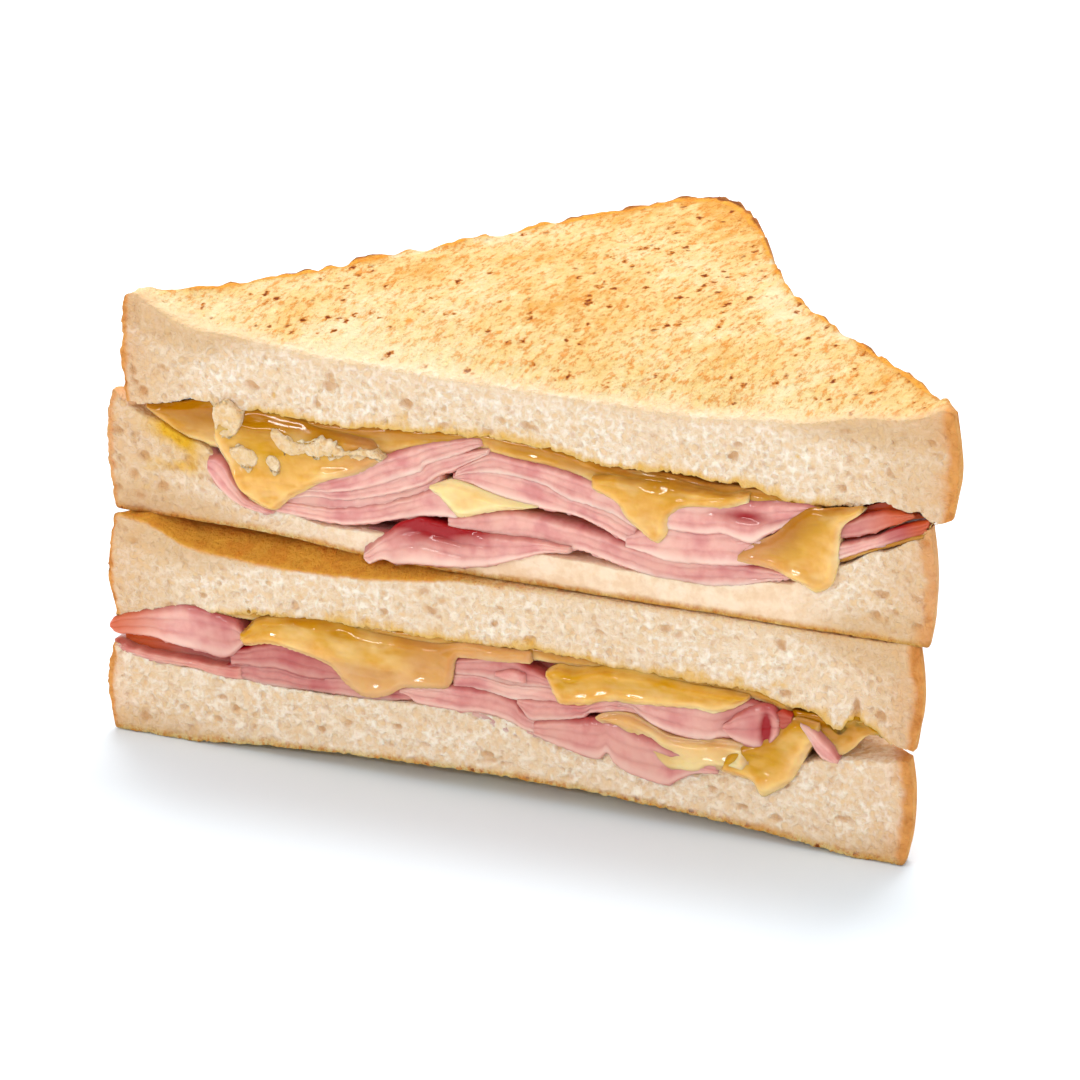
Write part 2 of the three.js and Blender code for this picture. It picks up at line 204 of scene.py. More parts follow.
class Plan:
    """The outline of one half, in millimetres, seen from above."""

    def __init__(self, cut_length, shift):
        self.left, self.right = shift - cut_length / 2, shift + cut_length / 2
        self.centre = np.array([shift - 1, HALF_DEPTH * 0.31])
        self.far = np.array([shift - 3.5, HALF_DEPTH + 2])
        left, right = np.array([self.left, 0.0]), np.array([self.right, 0.0])
        self.ends = left, right
        to_right = (right - self.far) / np.linalg.norm(right - self.far)
        to_left = (left - self.far) / np.linalg.norm(left - self.far)
        out_right = np.array([-to_right[1], to_right[0]])
        out_left = np.array([to_left[1], -to_left[0]])
        right_end = right - [CORNER_RADIUS, 0] + out_right * CORNER_RADIUS
        left_end = left + [CORNER_RADIUS, 0] + out_left * CORNER_RADIUS
        right_far, left_far = (self.far + side * FAR_RADIUS for side in (to_right, to_left))
        rim = np.concatenate([
            bezier(right, right + [0, CORNER_RADIUS * 0.45], right_end),
            bowed(right_end, right_far, WAIST, WAIST_PLACE),
            bezier(right_far, self.far, left_far),
            bowed(left_far, left_end, LEFT_BOW, 0.5),
            bezier(left_end, left + [0, CORNER_RADIUS * 0.45], left),
        ])
        simple = np.concatenate([bowed(right, self.far, 0, 0.5), bowed(self.far, left, 0, 0.5)])
        self.angles, self.reach = self.spokes(rim)
        simple_angles, simple_reach = self.spokes(simple)
        self.stretch = self.reach / np.interp(self.angles, simple_angles, simple_reach)

    def spokes(self, rim):
        """The angle and the length of each spoke from the middle to a rim."""
        away = rim - self.centre
        angle = turn_of(away)
        order = np.argsort(angle)
        return angle[order], np.hypot(*away.T)[order]

    def place(self, s, t):
        """Where the point (s, t) of the simple half square lies on the real half slice."""
        left, right = self.ends
        flat = np.outer(1 - s - t, self.far) + np.outer(t, left) + np.outer(s, right)
        away = flat - self.centre
        angle = turn_of(away)
        at_rim = (angle >= self.angles[0]) & (angle <= self.angles[-1])
        stretch = np.where(at_rim, np.interp(angle, self.angles, self.stretch), 1.0)
        return self.centre + away * stretch[:, None]


UPPER = Plan(150.0, 2.0)
LOWER = Plan(148.5, -1.7)
print("upper cut from", UPPER.left, "to", UPPER.right, "mm")

# %% [markdown]
# ## A block to shape every layer from
# Bread, ham and cheese are all flat layers with the same plan. A square grid, bisected
# along its diagonal like the bread under the knife, is extruded into a block. Its walls
# are then divided more finely than its hidden faces, since the cut face shows every pore.
# Its points hold (s, t, w): two shares across the plan and one up the wall.

# %% The block
def raise_walls(block, rows):
    """Extrudes a flat grid by 1 and divides its walls into rows."""
    raised = bmesh.ops.extrude_face_region(block, geom=block.faces[:])["geom"]
    moved = [part for part in raised if isinstance(part, bmesh.types.BMVert)]
    bmesh.ops.translate(block, verts=moved, vec=(0, 0, 1))
    upright = [e for e in block.edges if abs(e.verts[0].co.z - e.verts[1].co.z) > 0.5]
    bmesh.ops.subdivide_edges(block, edges=upright, cuts=rows - 1, use_grid_fill=True)


def half_block(cells, columns, rows):
    """A half square of cells, raised to a block; its cut face gets columns a cell."""
    block = bmesh.new()
    bmesh.ops.create_grid(block, x_segments=cells, y_segments=cells, size=0.5)
    bmesh.ops.translate(block, verts=block.verts, vec=(0.5, 0.5, 0))
    everything = block.verts[:] + block.edges[:] + block.faces[:]
    bmesh.ops.bisect_plane(block, geom=everything, dist=1e-5, plane_co=(0.5, 0.5, 0),
                           plane_no=(1, 1, 0), clear_outer=True)
    raise_walls(block, rows)
    along_cut = [e for e in block.edges
                 if all(v.co.x + v.co.y > 1 - 1e-4 for v in e.verts)
                 and abs(e.verts[0].co.z - e.verts[1].co.z) < 1e-4]
    bmesh.ops.subdivide_edges(block, edges=along_cut, cuts=columns - 1, use_grid_fill=True)
    return block


def shares(block):
    """The (s, t, w) of every point of a block, as three arrays."""
    return np.array([v.co for v in block.verts]).T


def places(x, y, z):
    """One row (x, y, z) for each point; each of the three may also be one number."""
    return np.stack(np.broadcast_arrays(x, y, z), 1)


sample = half_block(4, 3, 2)
print("a block of 4 cells has", len(sample.verts), "points")
sample.free()

# %% [markdown]
# ## Unevenness
# Nothing baked is even. Two kinds of unevenness do nearly all the work here: a smooth
# random swell, which bends edges and surfaces, and round pits of random size and place,
# which are the bubbles of the dough. Both are functions of the place in space, so they
# repeat exactly each time and run on without a seam from one face to the next.

# %% Swells and pits
def ease(x, start, end):
    """0 before start, 1 after end and smooth in between."""
    t = np.clip((x - start) / (end - start), 0, 1)
    return t * t * (3 - 2 * t)


def scatter(cell, seed):
    """Three random numbers from 0 to 1 for each whole-numbered cell."""
    mixed = cell @ np.array([[127.1, 269.5, 113.5], [311.7, 183.3, 271.9], [74.7, 246.1, 124.6]])
    return np.modf(np.abs(np.sin(mixed + seed * 12.9898) * 43758.5453))[0]


def swell(points, size, seed):
    """Smooth random heights from -1 to 1 that change over the given size in mm."""
    cell = np.floor(points / size)
    blend = ease(points / size - cell, 0, 1)
    total = np.zeros(len(points))
    for corner in np.ndindex(2, 2, 2):
        weight = np.prod(np.where(corner, blend, 1 - blend), axis=1)
        total += weight * scatter(cell + corner, seed)[:, 0]
    return 2 * total - 1


def rough(points, size, seed, octaves=3):
    """Swells of halving size and height on each other."""
    return sum(swell(points, size / 2 ** n, seed + n) / 2 ** n for n in range(octaves)) / 1.6


def pits(points, size, seed, share=0.7, widest=0.55):
    """Depth from 0 to 1 of round bubbles, one in most cells of the given size in mm."""
    cell = np.floor(points / size)
    depth = np.zeros(len(points))
    for step in np.ndindex(3, 3, 3):
        near = cell + np.array(step) - 1
        spot = scatter(near, seed)
        chance = scatter(near, seed + 7)
        radius = widest * (0.35 + 0.65 * chance[:, 1] ** 2)
        away = np.linalg.norm(points / size - near - spot, axis=1) / radius
        bubble = np.sqrt(np.clip(1 - away ** 2, 0, None)) * radius / widest
        depth = np.maximum(depth, np.where(chance[:, 0] < share, bubble, 0))
    return depth


row = places(np.arange(100.0), 0, 0)
print("a swell of 100 mm goes from", *(round(end(swell(row, 9.0, 1)), 2) for end in (min, max)))

# %% [markdown]
# ## Values along the cut
# Heights and colours change from place to place along the cut. Each such change is a small
# function of the place: a curve through a few stations, a hump, a soft spot, a slope that
# grows towards one end, or the same value everywhere.

# %% Curves, humps and spots
def curve(*stations):
    """A smooth curve through stations (x, value), level beyond its ends."""
    stops, values = np.array(stations, float).T

    def at(x):
        n = np.clip(np.searchsorted(stops, x, side="right"), 1, len(stops) - 1)
        return values[n - 1] + (values[n] - values[n - 1]) * ease(x, stops[n - 1], stops[n])
    return at


def hump(start, end, height):
    """A rounded hump of the given height between two places along the cut."""
    middle, reach = (start + end) / 2, (end - start) / 2
    return lambda x: height * np.clip(1 - ((x - middle) / reach) ** 2, 0, None)


def even(value):
    """The same value at every place."""
    return lambda x, *_: value + 0 * x


def toward(value, start, end):
    """Nothing at the start, and smoothly more until the value is reached at the end."""
    return lambda x, *_: value * ease(x, start, end)


def spot_at(x0, z0, wide, high, strength=1.0, base=0.0):
    """A soft-edged spot on the cut, over a base value."""
    return lambda x, z: base + strength * np.exp(-((x - x0) / wide) ** 2 - ((z - z0) / high) ** 2)


print("a spot is", round(float(spot_at(0, 0, 1, 1)(1.0, 0.0)), 2), "at the end of its width")

# %% [markdown]
# ## The faces between the layers
# Bread is squeezed where the knife went down and where the filling is thick. So each
# slice has a height profile along its cut edge, and behind the edge its faces ease back
# to the level of the inside of the sandwich.

# %% Kinds of faces
EDGE_BAND, BLEND_DEPTH = 6.0, 27.0
PRESSED_DEPTH = 17.0


def face(profile, inside):
    """A face that follows a profile along the cut and a level further in."""
    def height(x, y):
        share = np.clip((y - EDGE_BAND) / (BLEND_DEPTH - EDGE_BAND), 0, 1)
        return profile(x) * (1 - share) + inside(x, y) * share
    return height


def sagging(profile, inside):
    """A top that dips gently towards the cut, where the knife pressed it."""
    def height(x, y):
        share = 1 - np.exp(-np.clip(y, 0, None) / PRESSED_DEPTH)
        return profile(x) * (1 - share) + inside(x, y) * share
    return height


print("faces are level from", BLEND_DEPTH, "mm behind the cut")

# %% [markdown]
# ## The faces of the upper slices
# The top slice sags over the middle of its cut, where the knife leaned on it. The second
# is pressed thin under the ham there and curls up at its left end, away from the toast
# that it lies on.

# %% The faces of the upper half
UPPER_FLOOR = 36.9

upper_crown = sagging(
    curve((-73, 76.6), (-58, 72.4), (-31, 70.6), (-4, 70.1), (28, 69.9), (46, 71.3),
          (62, 74.2), (77, 77)),
    lambda x, y: 77.5 + 0.008 * x + 0.02 * y)
upper_ceiling = face(
    curve((-74, 57.5), (-68, 57.9), (-60, 59.8), (-34, 58.9), (-16, 60.2), (-2, 60.8), (17, 59),
          (28, 59.7), (37, 59.1), (50, 57.4), (58, 58.6), (62.5, 60), (66.5, 59.2), (71.7, 57.8),
          (75, 58.6), (77, 60.5)),
    even(59.6))
upper_seat = face(
    curve((-76, 60.2), (-73, 57.4), (-69, 55.8), (-60, 52.9), (-49, 45), (-36, 41.6), (0, 42.7),
          (32, 41.9), (46, 44.2), (55.3, 48.7), (62.6, 52.2), (69, 55), (71, 57.4)),
    lambda x, y: 50.5 + 0.045 * y)
curl = curve((-70, 1.8), (-50, 1.7), (-20, 0))


def upper_floor(x, y):
    return UPPER_FLOOR + curl(x) * (1 - ease(y, 4, 30))


print("the upper filling is", round(float(upper_ceiling(0.0, 0.0) - upper_seat(0.0, 0.0)), 1),
      "mm high in the middle of the cut")

# %% [markdown]
# ## The faces of the lower slices
# Between the halves toast lies flat on toast, apart from a dip near the left. The bottom
# slice arches, so its cut edge lifts off the table between its two ends, and a shadow
# runs in under it.

# %% The faces of the lower half
def lower_crown(x, y):
    dip = hump(-68, -12, 2.3)(x) * (1 - ease(y, 0, 6))
    return UPPER_FLOOR - 0.1 - dip + 2.1 * ease(-x, 60, 69) * (1 - ease(y, 4, 30))


lower_ceiling = face(
    curve((-76, 20.2), (-63, 22.9), (-43, 24.8), (-34, 25.4), (-13, 25.4), (5, 25.9), (22, 24.9),
          (40, 24.9), (47.5, 23.2), (52, 23), (56.5, 20.4), (58.4, 22.4), (61.5, 22), (66, 19.6),
          (72, 18.8)),
    even(24.6))
lower_seat = face(
    curve((-76, 16), (-66, 13.6), (-40, 12.8), (-10, 14.2), (10, 13.4), (45, 13.6), (58, 16.4),
          (72, 18.2)),
    lambda x, y: 15.6 + 0.025 * y)


def lower_floor(x, y):
    return hump(-60, 60, 3.3)(x) * (1 - ease(y, 0, 26))


def filling_gap(plan):
    """The faces above and below the filling of one half."""
    return (upper_ceiling, upper_seat) if plan is UPPER else (lower_ceiling, lower_seat)


print("the bottom slice's edge is", round(float(lower_floor(0.0, 0.0)), 1), "mm off the table")

# %% [markdown]
# ## From points to an object
# Every piece is finished alike: its points go to their place in the stack, its normals are
# turned outward, and each mark, such as how toasted a point is, becomes an attribute that
# a material can read. The knife came down at a slant, so the lower cut leans back a little.

# %% Finishing a piece
LOWER_FORWARD = 3.0
LOWER_LEAN = 3.0


def stand(points, plan):
    """Moves the points of one half to their place in the stack, and into the frame."""
    placed = points.copy()
    if plan is LOWER:
        rise = np.clip(points[:, 2] / UPPER_FLOOR, 0, 1)
        lean = LOWER_LEAN * rise * ease(points[:, 0], -50, 60) * (1 - ease(points[:, 1], 0, 50))
        placed[:, 1] += lean - LOWER_FORWARD
    return (placed + np.array(CUT_TO_ORIGIN)) * MM


def finish_piece(block, name, points, plan, material, marks):
    """Turns a shaped block into an object, with one attribute for each mark."""
    for vertex, point in zip(block.verts, stand(points, plan)):
        vertex.co = point
    bmesh.ops.recalc_face_normals(block, faces=block.faces)
    mesh = bpy.data.meshes.new(name)
    block.to_mesh(mesh)
    block.free()
    for mark, values in marks.items():
        layer = mesh.attributes.new(mark, "FLOAT", "POINT")
        layer.data.foreach_set("value", np.asarray(values, np.float32))
    mesh.polygons.foreach_set("use_smooth", [True] * len(mesh.polygons))
    mesh.materials.append(material)
    piece = bpy.data.objects.new(name, mesh)
    bpy.context.scene.collection.objects.link(piece)
    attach(piece, "root")
    print(name, "has", len(mesh.vertices), "points")
    return piece


print("the lower cut stands", LOWER_FORWARD, "mm in front of the upper one")

# %% [markdown]
# ## Paint from nodes
# Food has no flat colours. Each material mixes a few baked or raw tones by noise of the
# real grain size and by marks that were left on the points while the piece was shaped,
# such as how toasted a place is. A few short helpers keep such node trees readable.

# %% Helpers for node trees
def tone(red, green, blue):
    """A colour from its usual 0 to 255 values."""
    scaled = [channel / 255 for channel in (red, green, blue)]
    return tuple(c / 12.92 if c < 0.04045 else ((c + 0.055) / 1.055) ** 2.4
                 for c in scaled) + (1.0,)


class Paint:
    """Adds nodes to one material; every call gives back a socket."""

    def __init__(self, name, **sockets):
        self.material, self.surface = principled(name, **sockets)
        self.tree = self.material.node_tree
        self.place = self.add("TexCoord").outputs["Object"]

    def add(self, kind, inputs=(), **settings):
        """A new node; its inputs are named or numbered, and fed by values or sockets."""
        node = self.tree.nodes.new("ShaderNode" + kind)
        for setting, value in settings.items():
            setattr(node, setting, value)
        for socket, value in dict(inputs).items():
            self.feed(node.inputs[socket], value)
        return node

    def feed(self, socket, value):
        if isinstance(value, bpy.types.NodeSocket):
            self.tree.links.new(value, socket)
        else:
            socket.default_value = value

    def mark(self, name):
        """The value of one attribute of the points."""
        return self.add("Attribute", attribute_name=name).outputs["Fac"]

    def math(self, operation, a, b, clamp=False):
        return self.add("Math", {0: a, 1: b}, operation=operation, use_clamp=clamp).outputs[0]

    def times(self, a, b, clamp=False):
        return self.math("MULTIPLY", a, b, clamp)

    def plus(self, a, b):
        return self.math("ADD", a, b)

    def minus(self, a, b, clamp=False):
        return self.math("SUBTRACT", a, b, clamp)

    def span(self, value, low, high, start=0.0, end=1.0):
        """A value from low to high, turned into start to end and held there."""
        inputs = enumerate((value, low, high, start, end))
        return self.add("MapRange", inputs, interpolation_type="SMOOTHSTEP").outputs[0]

    def mix(self, share, first, second):
        return self.add("Mix", {0: share, 6: first, 7: second}, data_type="RGBA").outputs[2]

    def stretch(self, x, y, z, turn=0.0, where=None):
        """Object coordinates turned about the upright axis and then multiplied."""
        return self.add("Mapping", {"Vector": where or self.place, "Rotation": (0, 0, turn),
                                    "Scale": (x, y, z)}).outputs[0]

    def warp(self, size, reach):
        """Object coordinates pushed about by noise, by up to a reach in mm."""
        noise = self.add("TexNoise", {"Vector": self.place, "Scale": 1.0 / (size * MM)})
        return self.add("VectorMath", {0: noise.outputs["Color"], 1: (2 * reach * MM,) * 3,
                                       2: self.place}, operation="MULTIPLY_ADD").outputs[0]

    def grain(self, size, detail=3.0, roughness=0.55, where=None):
        """Noise from 0 to 1 whose patches are about the given size in mm."""
        return self.add("TexNoise", {"Vector": where or self.place, "Scale": 1.0 / (size * MM),
                                     "Detail": detail, "Roughness": roughness}).outputs["Fac"]

    def cells(self, size, where):
        """Distance from the middle of random cells about the given size in mm."""
        return self.add("TexVoronoi", {"Vector": where,
                                       "Scale": 1.0 / (size * MM)}).outputs["Distance"]

    def bump(self, height, depth, under=None):
        """A bump of the given depth in mm, on top of another one."""
        inputs = {"Height": height, "Distance": depth * MM, "Strength": 1.0}
        if under is not None:
            inputs["Normal"] = under
        return self.add("Bump", inputs).outputs["Normal"]

    def finish(self, colour, roughness, normal):
        self.feed(self.surface.inputs["Base Color"], colour)
        self.feed(self.surface.inputs["Roughness"], roughness)
        self.feed(self.surface.inputs["Normal"], normal)
        print(self.material.name, "has", len(self.tree.nodes), "nodes")
        return self.material


print("cream as Blender's linear colour:", [round(c, 2) for c in tone(250, 235, 216)[:3]])

# %% [markdown]
# ## Raw crumb
# Seven marks on its points lead the bread's material: toast, crust, pore shade, scorch,
# moist, firm and soaked. Raw crumb is cream on the thin walls between its bubbles, and the
# tan inside them is painted shade, darkest in the cut-open pores. It is darker where it is
# firm, near the crust and the toast. It is smooth and peach where the ham's juice made it
# moist, and yellow where melted cheese soaked in.

# %% The colour of crumb
def crumb_walls(paint, moist):
    """The cottony walls between bubbles, which moist crumb has lost."""
    cottony = paint.span(paint.grain(1.15, detail=3.0, roughness=0.6), 0.28, 0.7)
    pores = paint.span(paint.cells(2.1, paint.warp(0.9, 0.5)), 0.1, 0.38)
    dried = paint.minus(1.0, paint.times(moist, 0.7))
    wall = paint.times(paint.times(cottony, pores), dried)
    return paint.plus(wall, paint.times(moist, 0.45))


def crumb_colour(paint, wall, moist):
    """Cream walls and tan hollows of painted shade, with wet and yellow places."""
    pore_shade, firm, soaked = (paint.mark(name) for name in ("pore_shade", "firm", "soaked"))
    broad = paint.grain(9.0, detail=2.0)
    # tan where the walls give way to bubbles is painted shade in the hollows
    crumb = paint.mix(wall, tone(232, 198, 156), tone(250, 235, 216))
    crumb = paint.mix(paint.span(broad, 0.42, 0.62, 0, 0.45), crumb, tone(236, 206, 170))
    crumb = paint.mix(paint.span(firm, 0.35, 0.95, 0, 0.75), crumb, tone(214, 174, 126))
    # painted shade: a darker tan in the cut-open pores, as deep as each is hollow
    crumb = paint.mix(paint.span(pore_shade, 0.12, 0.75, 0, 0.75), crumb, tone(208, 156, 104))
    clouds = paint.span(paint.grain(3.0, detail=4.0, roughness=0.6), 0.36, 0.64)
    wet = paint.mix(clouds, tone(234, 196, 156), tone(250, 222, 192))
    crumb = paint.mix(paint.times(moist, 0.75), crumb, wet)
    return paint.mix(paint.times(soaked, 0.85, clamp=True), crumb, tone(228, 172, 40))


print("marks of the bread: toast, crust, pit, scorch, moist, firm, soaked")

# %% [markdown]
# ## Toast and crust
# Toast goes from pale gold to orange in mottled patches, because a toaster browns the
# high places of the crumb first. Here and there a bubble's thin wall has caught and left
# a small dark speck. The crust is an even brown skin, darkest along the toasted edge.

# %% The colour of toast
def toast_colour(paint, scorch, mottle, fleck):
    """Gold that browns with the scorch mark and with the mottled grain."""
    wide = paint.grain(16.0, detail=2.0, where=paint.stretch(1, 0.6, 1))
    patchy = paint.plus(paint.times(mottle, 0.46), paint.times(wide, 0.34))
    baked = paint.plus(patchy, paint.times(scorch, 0.42))
    golden = paint.mix(paint.span(baked, 0.5, 0.68), tone(252, 232, 184), tone(247, 210, 138))
    golden = paint.mix(paint.span(baked, 0.66, 0.77), golden, tone(238, 174, 84))
    burnt = paint.times(paint.span(fleck, 0.5, 0.6), paint.span(baked, 0.47, 0.66))
    golden = paint.mix(paint.times(burnt, 0.85), golden, tone(226, 140, 46))
    golden = paint.mix(paint.span(scorch, 0.9, 1.0, 0, 0.9), golden, tone(255, 176, 62))
    golden = paint.mix(paint.span(baked, 0.92, 1.3), golden, tone(132, 70, 26))
    deeper = paint.times(paint.span(scorch, 0.9, 1.0), paint.span(mottle, 0.46, 0.58))
    return paint.mix(paint.times(deeper, 0.3), golden, tone(224, 110, 26))


def dark_specks(paint, golden, scorch, fleck):
    """Caught bubbles, in loose groups where the toast is neither raw nor burnt."""
    bubble = paint.cells(2.1, paint.stretch(1, 0.55, 1, -AZIMUTH, paint.warp(0.9, 0.9)))
    ragged = paint.plus(bubble, paint.times(fleck, 0.35))
    middling = paint.minus(paint.span(scorch, 0.25, 0.5), paint.span(scorch, 0.9, 0.98),
                           clamp=True)
    where = paint.times(paint.span(paint.grain(5.0, detail=2.0), 0.5, 0.58), middling)
    halo = paint.times(paint.span(ragged, 0.36, 0.52, 1, 0), where)
    golden = paint.mix(halo, golden, tone(214, 126, 32))
    heart = paint.times(paint.span(ragged, 0.3, 0.37, 1, 0), where)
    return paint.mix(heart, golden, tone(134, 54, 0))


def crust_colour(paint, crust, scorch):
    """Brown skin, darker at the toasted edge and redder where it meets the crumb."""
    side = paint.mix(paint.span(paint.grain(3.2, detail=4.0), 0.35, 0.7),
                     tone(222, 156, 86), tone(198, 126, 60))
    rim = paint.times(paint.span(scorch, 1.0, 1.5),
                      paint.span(paint.grain(2.5, detail=4.0), 0.4, 0.6))
    side = paint.mix(rim, side, tone(150, 82, 36))
    border = paint.times(crust, paint.minus(1.0, crust))
    return paint.mix(paint.times(border, 3.0), side, tone(222, 146, 74))


print("a speck's heart in linear light:", [round(c, 2) for c in tone(134, 54, 0)[:3]])

# %% [markdown]
# ## One material for the bread
# Crumb, toast and crust run into each other, so a single material holds all three. Light
# enters bread a little way, which softens its pores. The toast's grain is drawn out along
# one direction, as the dough was when it was rolled into its tin.

# %% The bread material
def bread_paint():
    paint = Paint("toasted_bread_crumb", Subsurface_Weight=0.35, Subsurface_Scale=0.0012,
                  Subsurface_Radius=(1.0, 0.75, 0.45), Specular_IOR_Level=0.15)
    toast, crust, scorch, moist = (paint.mark(name)
                                   for name in ("toast", "crust", "scorch", "moist"))
    drawn = paint.stretch(1, 0.42, 1, turn=-AZIMUTH)
    mottle = paint.grain(2.6, detail=6.0, roughness=0.78, where=drawn)
    fleck = paint.grain(1.0, detail=5.0, roughness=0.72, where=drawn)
    wall = crumb_walls(paint, moist)
    golden = toast_colour(paint, scorch, mottle, fleck)
    golden = dark_specks(paint, golden, scorch, fleck)
    colour = paint.mix(toast, crumb_colour(paint, wall, moist), golden)
    colour = paint.mix(crust, colour, crust_colour(paint, crust, scorch))
    dull = paint.mix(toast, (0.85, 0.85, 0.85, 1), (0.62, 0.62, 0.62, 1))
    dull = paint.mix(moist, dull, (0.5, 0.5, 0.5, 1))
    craggy = paint.times(paint.plus(paint.span(mottle, 0.35, 0.65),
                                    paint.span(fleck, 0.35, 0.65)), toast)
    normal = paint.bump(paint.plus(wall, paint.times(craggy, 0.9)), 0.32)
    normal = paint.bump(paint.grain(0.55, detail=2.0), 0.07, normal)
    return paint.finish(colour, dull, normal)


BREAD_PAINT = bread_paint()

# %% [markdown]
# ## A slice of bread
# The cut through a soft slice is a field of torn bubbles, not a plane. One block holds the
# whole slice, so that open crumb, toast and crust share one skin. It is shaped in four
# steps, and the first lays out its plan and notes how far each point is from the crust.

# %% A slice without height
BREAD_CELLS, BREAD_COLUMNS, BREAD_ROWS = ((150, 3, 44))
LEG = 113.0  # length of the crust along one side of the slice


def flat_slice(plan, seed, ends, toasted):
    """The points of a slice before they have a height; ends shift its two tips in mm."""
    block = half_block(BREAD_CELLS, BREAD_COLUMNS, BREAD_ROWS)
    s, t, w = shares(block)
    x, y = plan.place(s, t).T
    left_end, right_end = ends
    x += right_end * ease(x, 35, 77) - left_end * ease(-x, 35, 77)
    return SimpleNamespace(
        block=block, plan=plan, seed=seed, toasted=toasted, x=x, y=y, w=w, depth=y,
        from_crust=np.minimum(s, t) * LEG,
        lumps=rough(places(x, y, 9 * w), 4.0, seed + 20),
        crisp=rough(places(x, y, 0), 3.4, seed + 21, octaves=2))


print("a slice is cut from", BREAD_CELLS, "cells along each side")

# %% [markdown]
# ## Torn edges
# Where the knife tears through, the upper and lower edge of the cut are frayed, more on
# the soft side under the filling than on the toasted one. Along the crust both faces are
# rounded, and a toasted rim stands up in small crisp lumps.

# %% The two faces of a slice
CRUST_ROUND = 1.5
FILLING_ROUND = 0.7
HALF_GAP = 0.05
TORN_DEPTH = 1.2  # tears and pores of the cut fade out this far behind it
HIGHEST = CAD_BOX[1][2] / MM - 0.1


def set_faces(loaf, top, bottom, fray, hang):
    """Gives every point its height, and notes how far it is from each face."""
    x, depth, seed = loaf.x, loaf.depth, loaf.seed
    toward_rim = np.clip(1 - loaf.from_crust / CRUST_ROUND, 0, 1)
    rounding = (1 - np.sqrt(1 - toward_rim ** 2)) * (0.15 + 0.85 * ease(depth, 0, 6))
    over, under = (CRUST_ROUND, FILLING_ROUND) if loaf.toasted else (FILLING_ROUND, CRUST_ROUND)
    along = places(x, 0, 50 * seed)
    torn = [0.6 * np.abs(rough(along, 3.0, seed + n))
            + 0.7 * np.abs(rough(along, 0.9, seed + n + 2)) for n in (0, 3)]
    loaf.behind = np.exp(-depth / TORN_DEPTH)
    high = top(x, depth) - HALF_GAP - over * rounding
    high -= loaf.behind * (0.05 + fray[0] * torn[0])
    low = bottom(x, depth) + HALF_GAP + under * rounding
    low += loaf.behind * (fray[1] * torn[1] - hang(x))
    rim_lumps = np.exp(-(loaf.from_crust - 1.2) ** 2 / 2.5)
    rim_lumps *= 0.3 + 0.4 * loaf.lumps + 0.9 * loaf.crisp
    high += loaf.toasted * (rim_lumps + 0.25 * loaf.crisp * ease(depth, 0, 4))
    thickness = np.minimum(high, HIGHEST) - low
    loaf.z = low + thickness * loaf.w
    loaf.to_toast = (1 - loaf.w if loaf.toasted else loaf.w) * thickness
    loaf.to_filling = thickness - loaf.to_toast
    loaf.to_face = np.minimum(loaf.w, 1 - loaf.w) * thickness


print("highest point allowed:", round(HIGHEST, 1), "mm")

# %% [markdown]
# ## Open pores
# Bubbles of three sizes are cut open: many small ones, fewer of about two millimetres and
# a rare large one. They are pits in space that the cut face is pushed into. The same push
# fades out just behind the cut, which keeps the faces above and below in one piece with
# it. Moist crumb has closed up, and single deep holes can be put where they are wanted.

# %% The pores of the cut
PORES = (  # depth, size in mm, share of cells with a bubble, widest, flattening
    (0.45, 1.1, 0.85, 0.62, (1, 1, 1)),
    (0.8, 2.1, 0.45, 0.5, (0.8, 1, 1.15)),
    (0.8, 4.2, 0.1, 0.32, (0.7, 1, 1.2)),
)


def open_pores(loaf, wet, holes):
    """Pushes the cut face in by round pits, and notes how hollow each place is."""
    spot, seed, near = places(loaf.x, 0, loaf.z), loaf.seed, loaf.depth < 6
    bend = np.stack([swell(spot[near], 1.5, seed + n) for n in (30, 31, 32)], 1)
    bent = spot[near] + 0.5 * bend
    hollow = np.zeros(len(spot))
    hollow[near] = np.maximum.reduce([
        deep * pits(bent * flatten, size, seed + n, share, widest)
        for n, (deep, size, share, widest, flatten) in enumerate(PORES)])
    loaf.uneven = rough(spot, 3.0, seed + 8)
    hollow *= (1 - 0.85 * wet) * (0.25 + 0.75 * ease(loaf.to_toast, 0.5, 3.2 + loaf.uneven))
    for hole in holes:
        hollow = np.maximum(hollow, hole(loaf.x, loaf.z))
    push = hollow * (0.35 + 0.65 * ease(loaf.to_face, 0, 1.5)) + 0.25 * rough(spot, 7.0, seed + 5)
    push += 0.12 * (1 - wet) * rough(spot, 1.1, seed + 6)
    loaf.y = loaf.y + push * loaf.behind
    loaf.hollow = hollow


print("pores of", [size for _, size, *_ in PORES], "mm")

# %% [markdown]
# ## The swell of the crust
# A loaf's crust bulges between its two cut faces and is lumpy from its tin. At the left
# ends, where the halves were pulled apart, its outline is torn as well.

# %% The crust's outline
CRUST_BULGE = 1.3
CRUST_DEPTH = 8.0  # the bulge fades out this far inside the crust


def swell_crust(loaf):
    """Pushes the crust outward along the spokes of the plan."""
    away = np.stack([loaf.x, loaf.depth], 1) - loaf.plan.centre
    away /= np.linalg.norm(away, axis=1)[:, None]
    swelling = np.clip(1 - loaf.from_crust / CRUST_DEPTH, 0, 1) ** 2
    swelling *= CRUST_BULGE * np.sin(math.pi * loaf.w) + 0.35 * loaf.lumps - 0.5
    torn = 0.45 * rough(places(loaf.x, loaf.y, loaf.z), 1.7, loaf.seed + 23) - 0.2
    swelling += torn * ease(-loaf.x, 58, 68)
    loaf.x = loaf.x + away[:, 0] * swelling
    loaf.y = loaf.y + away[:, 1] * swelling * (loaf.depth > 0.01)


print("the crust bulges by", CRUST_BULGE, "mm")

# %% [markdown]
# ## What each point of the bread is like
# The last step turns distances into marks. Toast reaches a millimetre or so into the
# slice and fades at a pale cut edge. The crust's skin is thin, but its brown tints the
# crumb behind it. The toasted rim is scorched in patches, and the ends are firm and dense.

# %% The marks of a slice
SKIN = 1.4


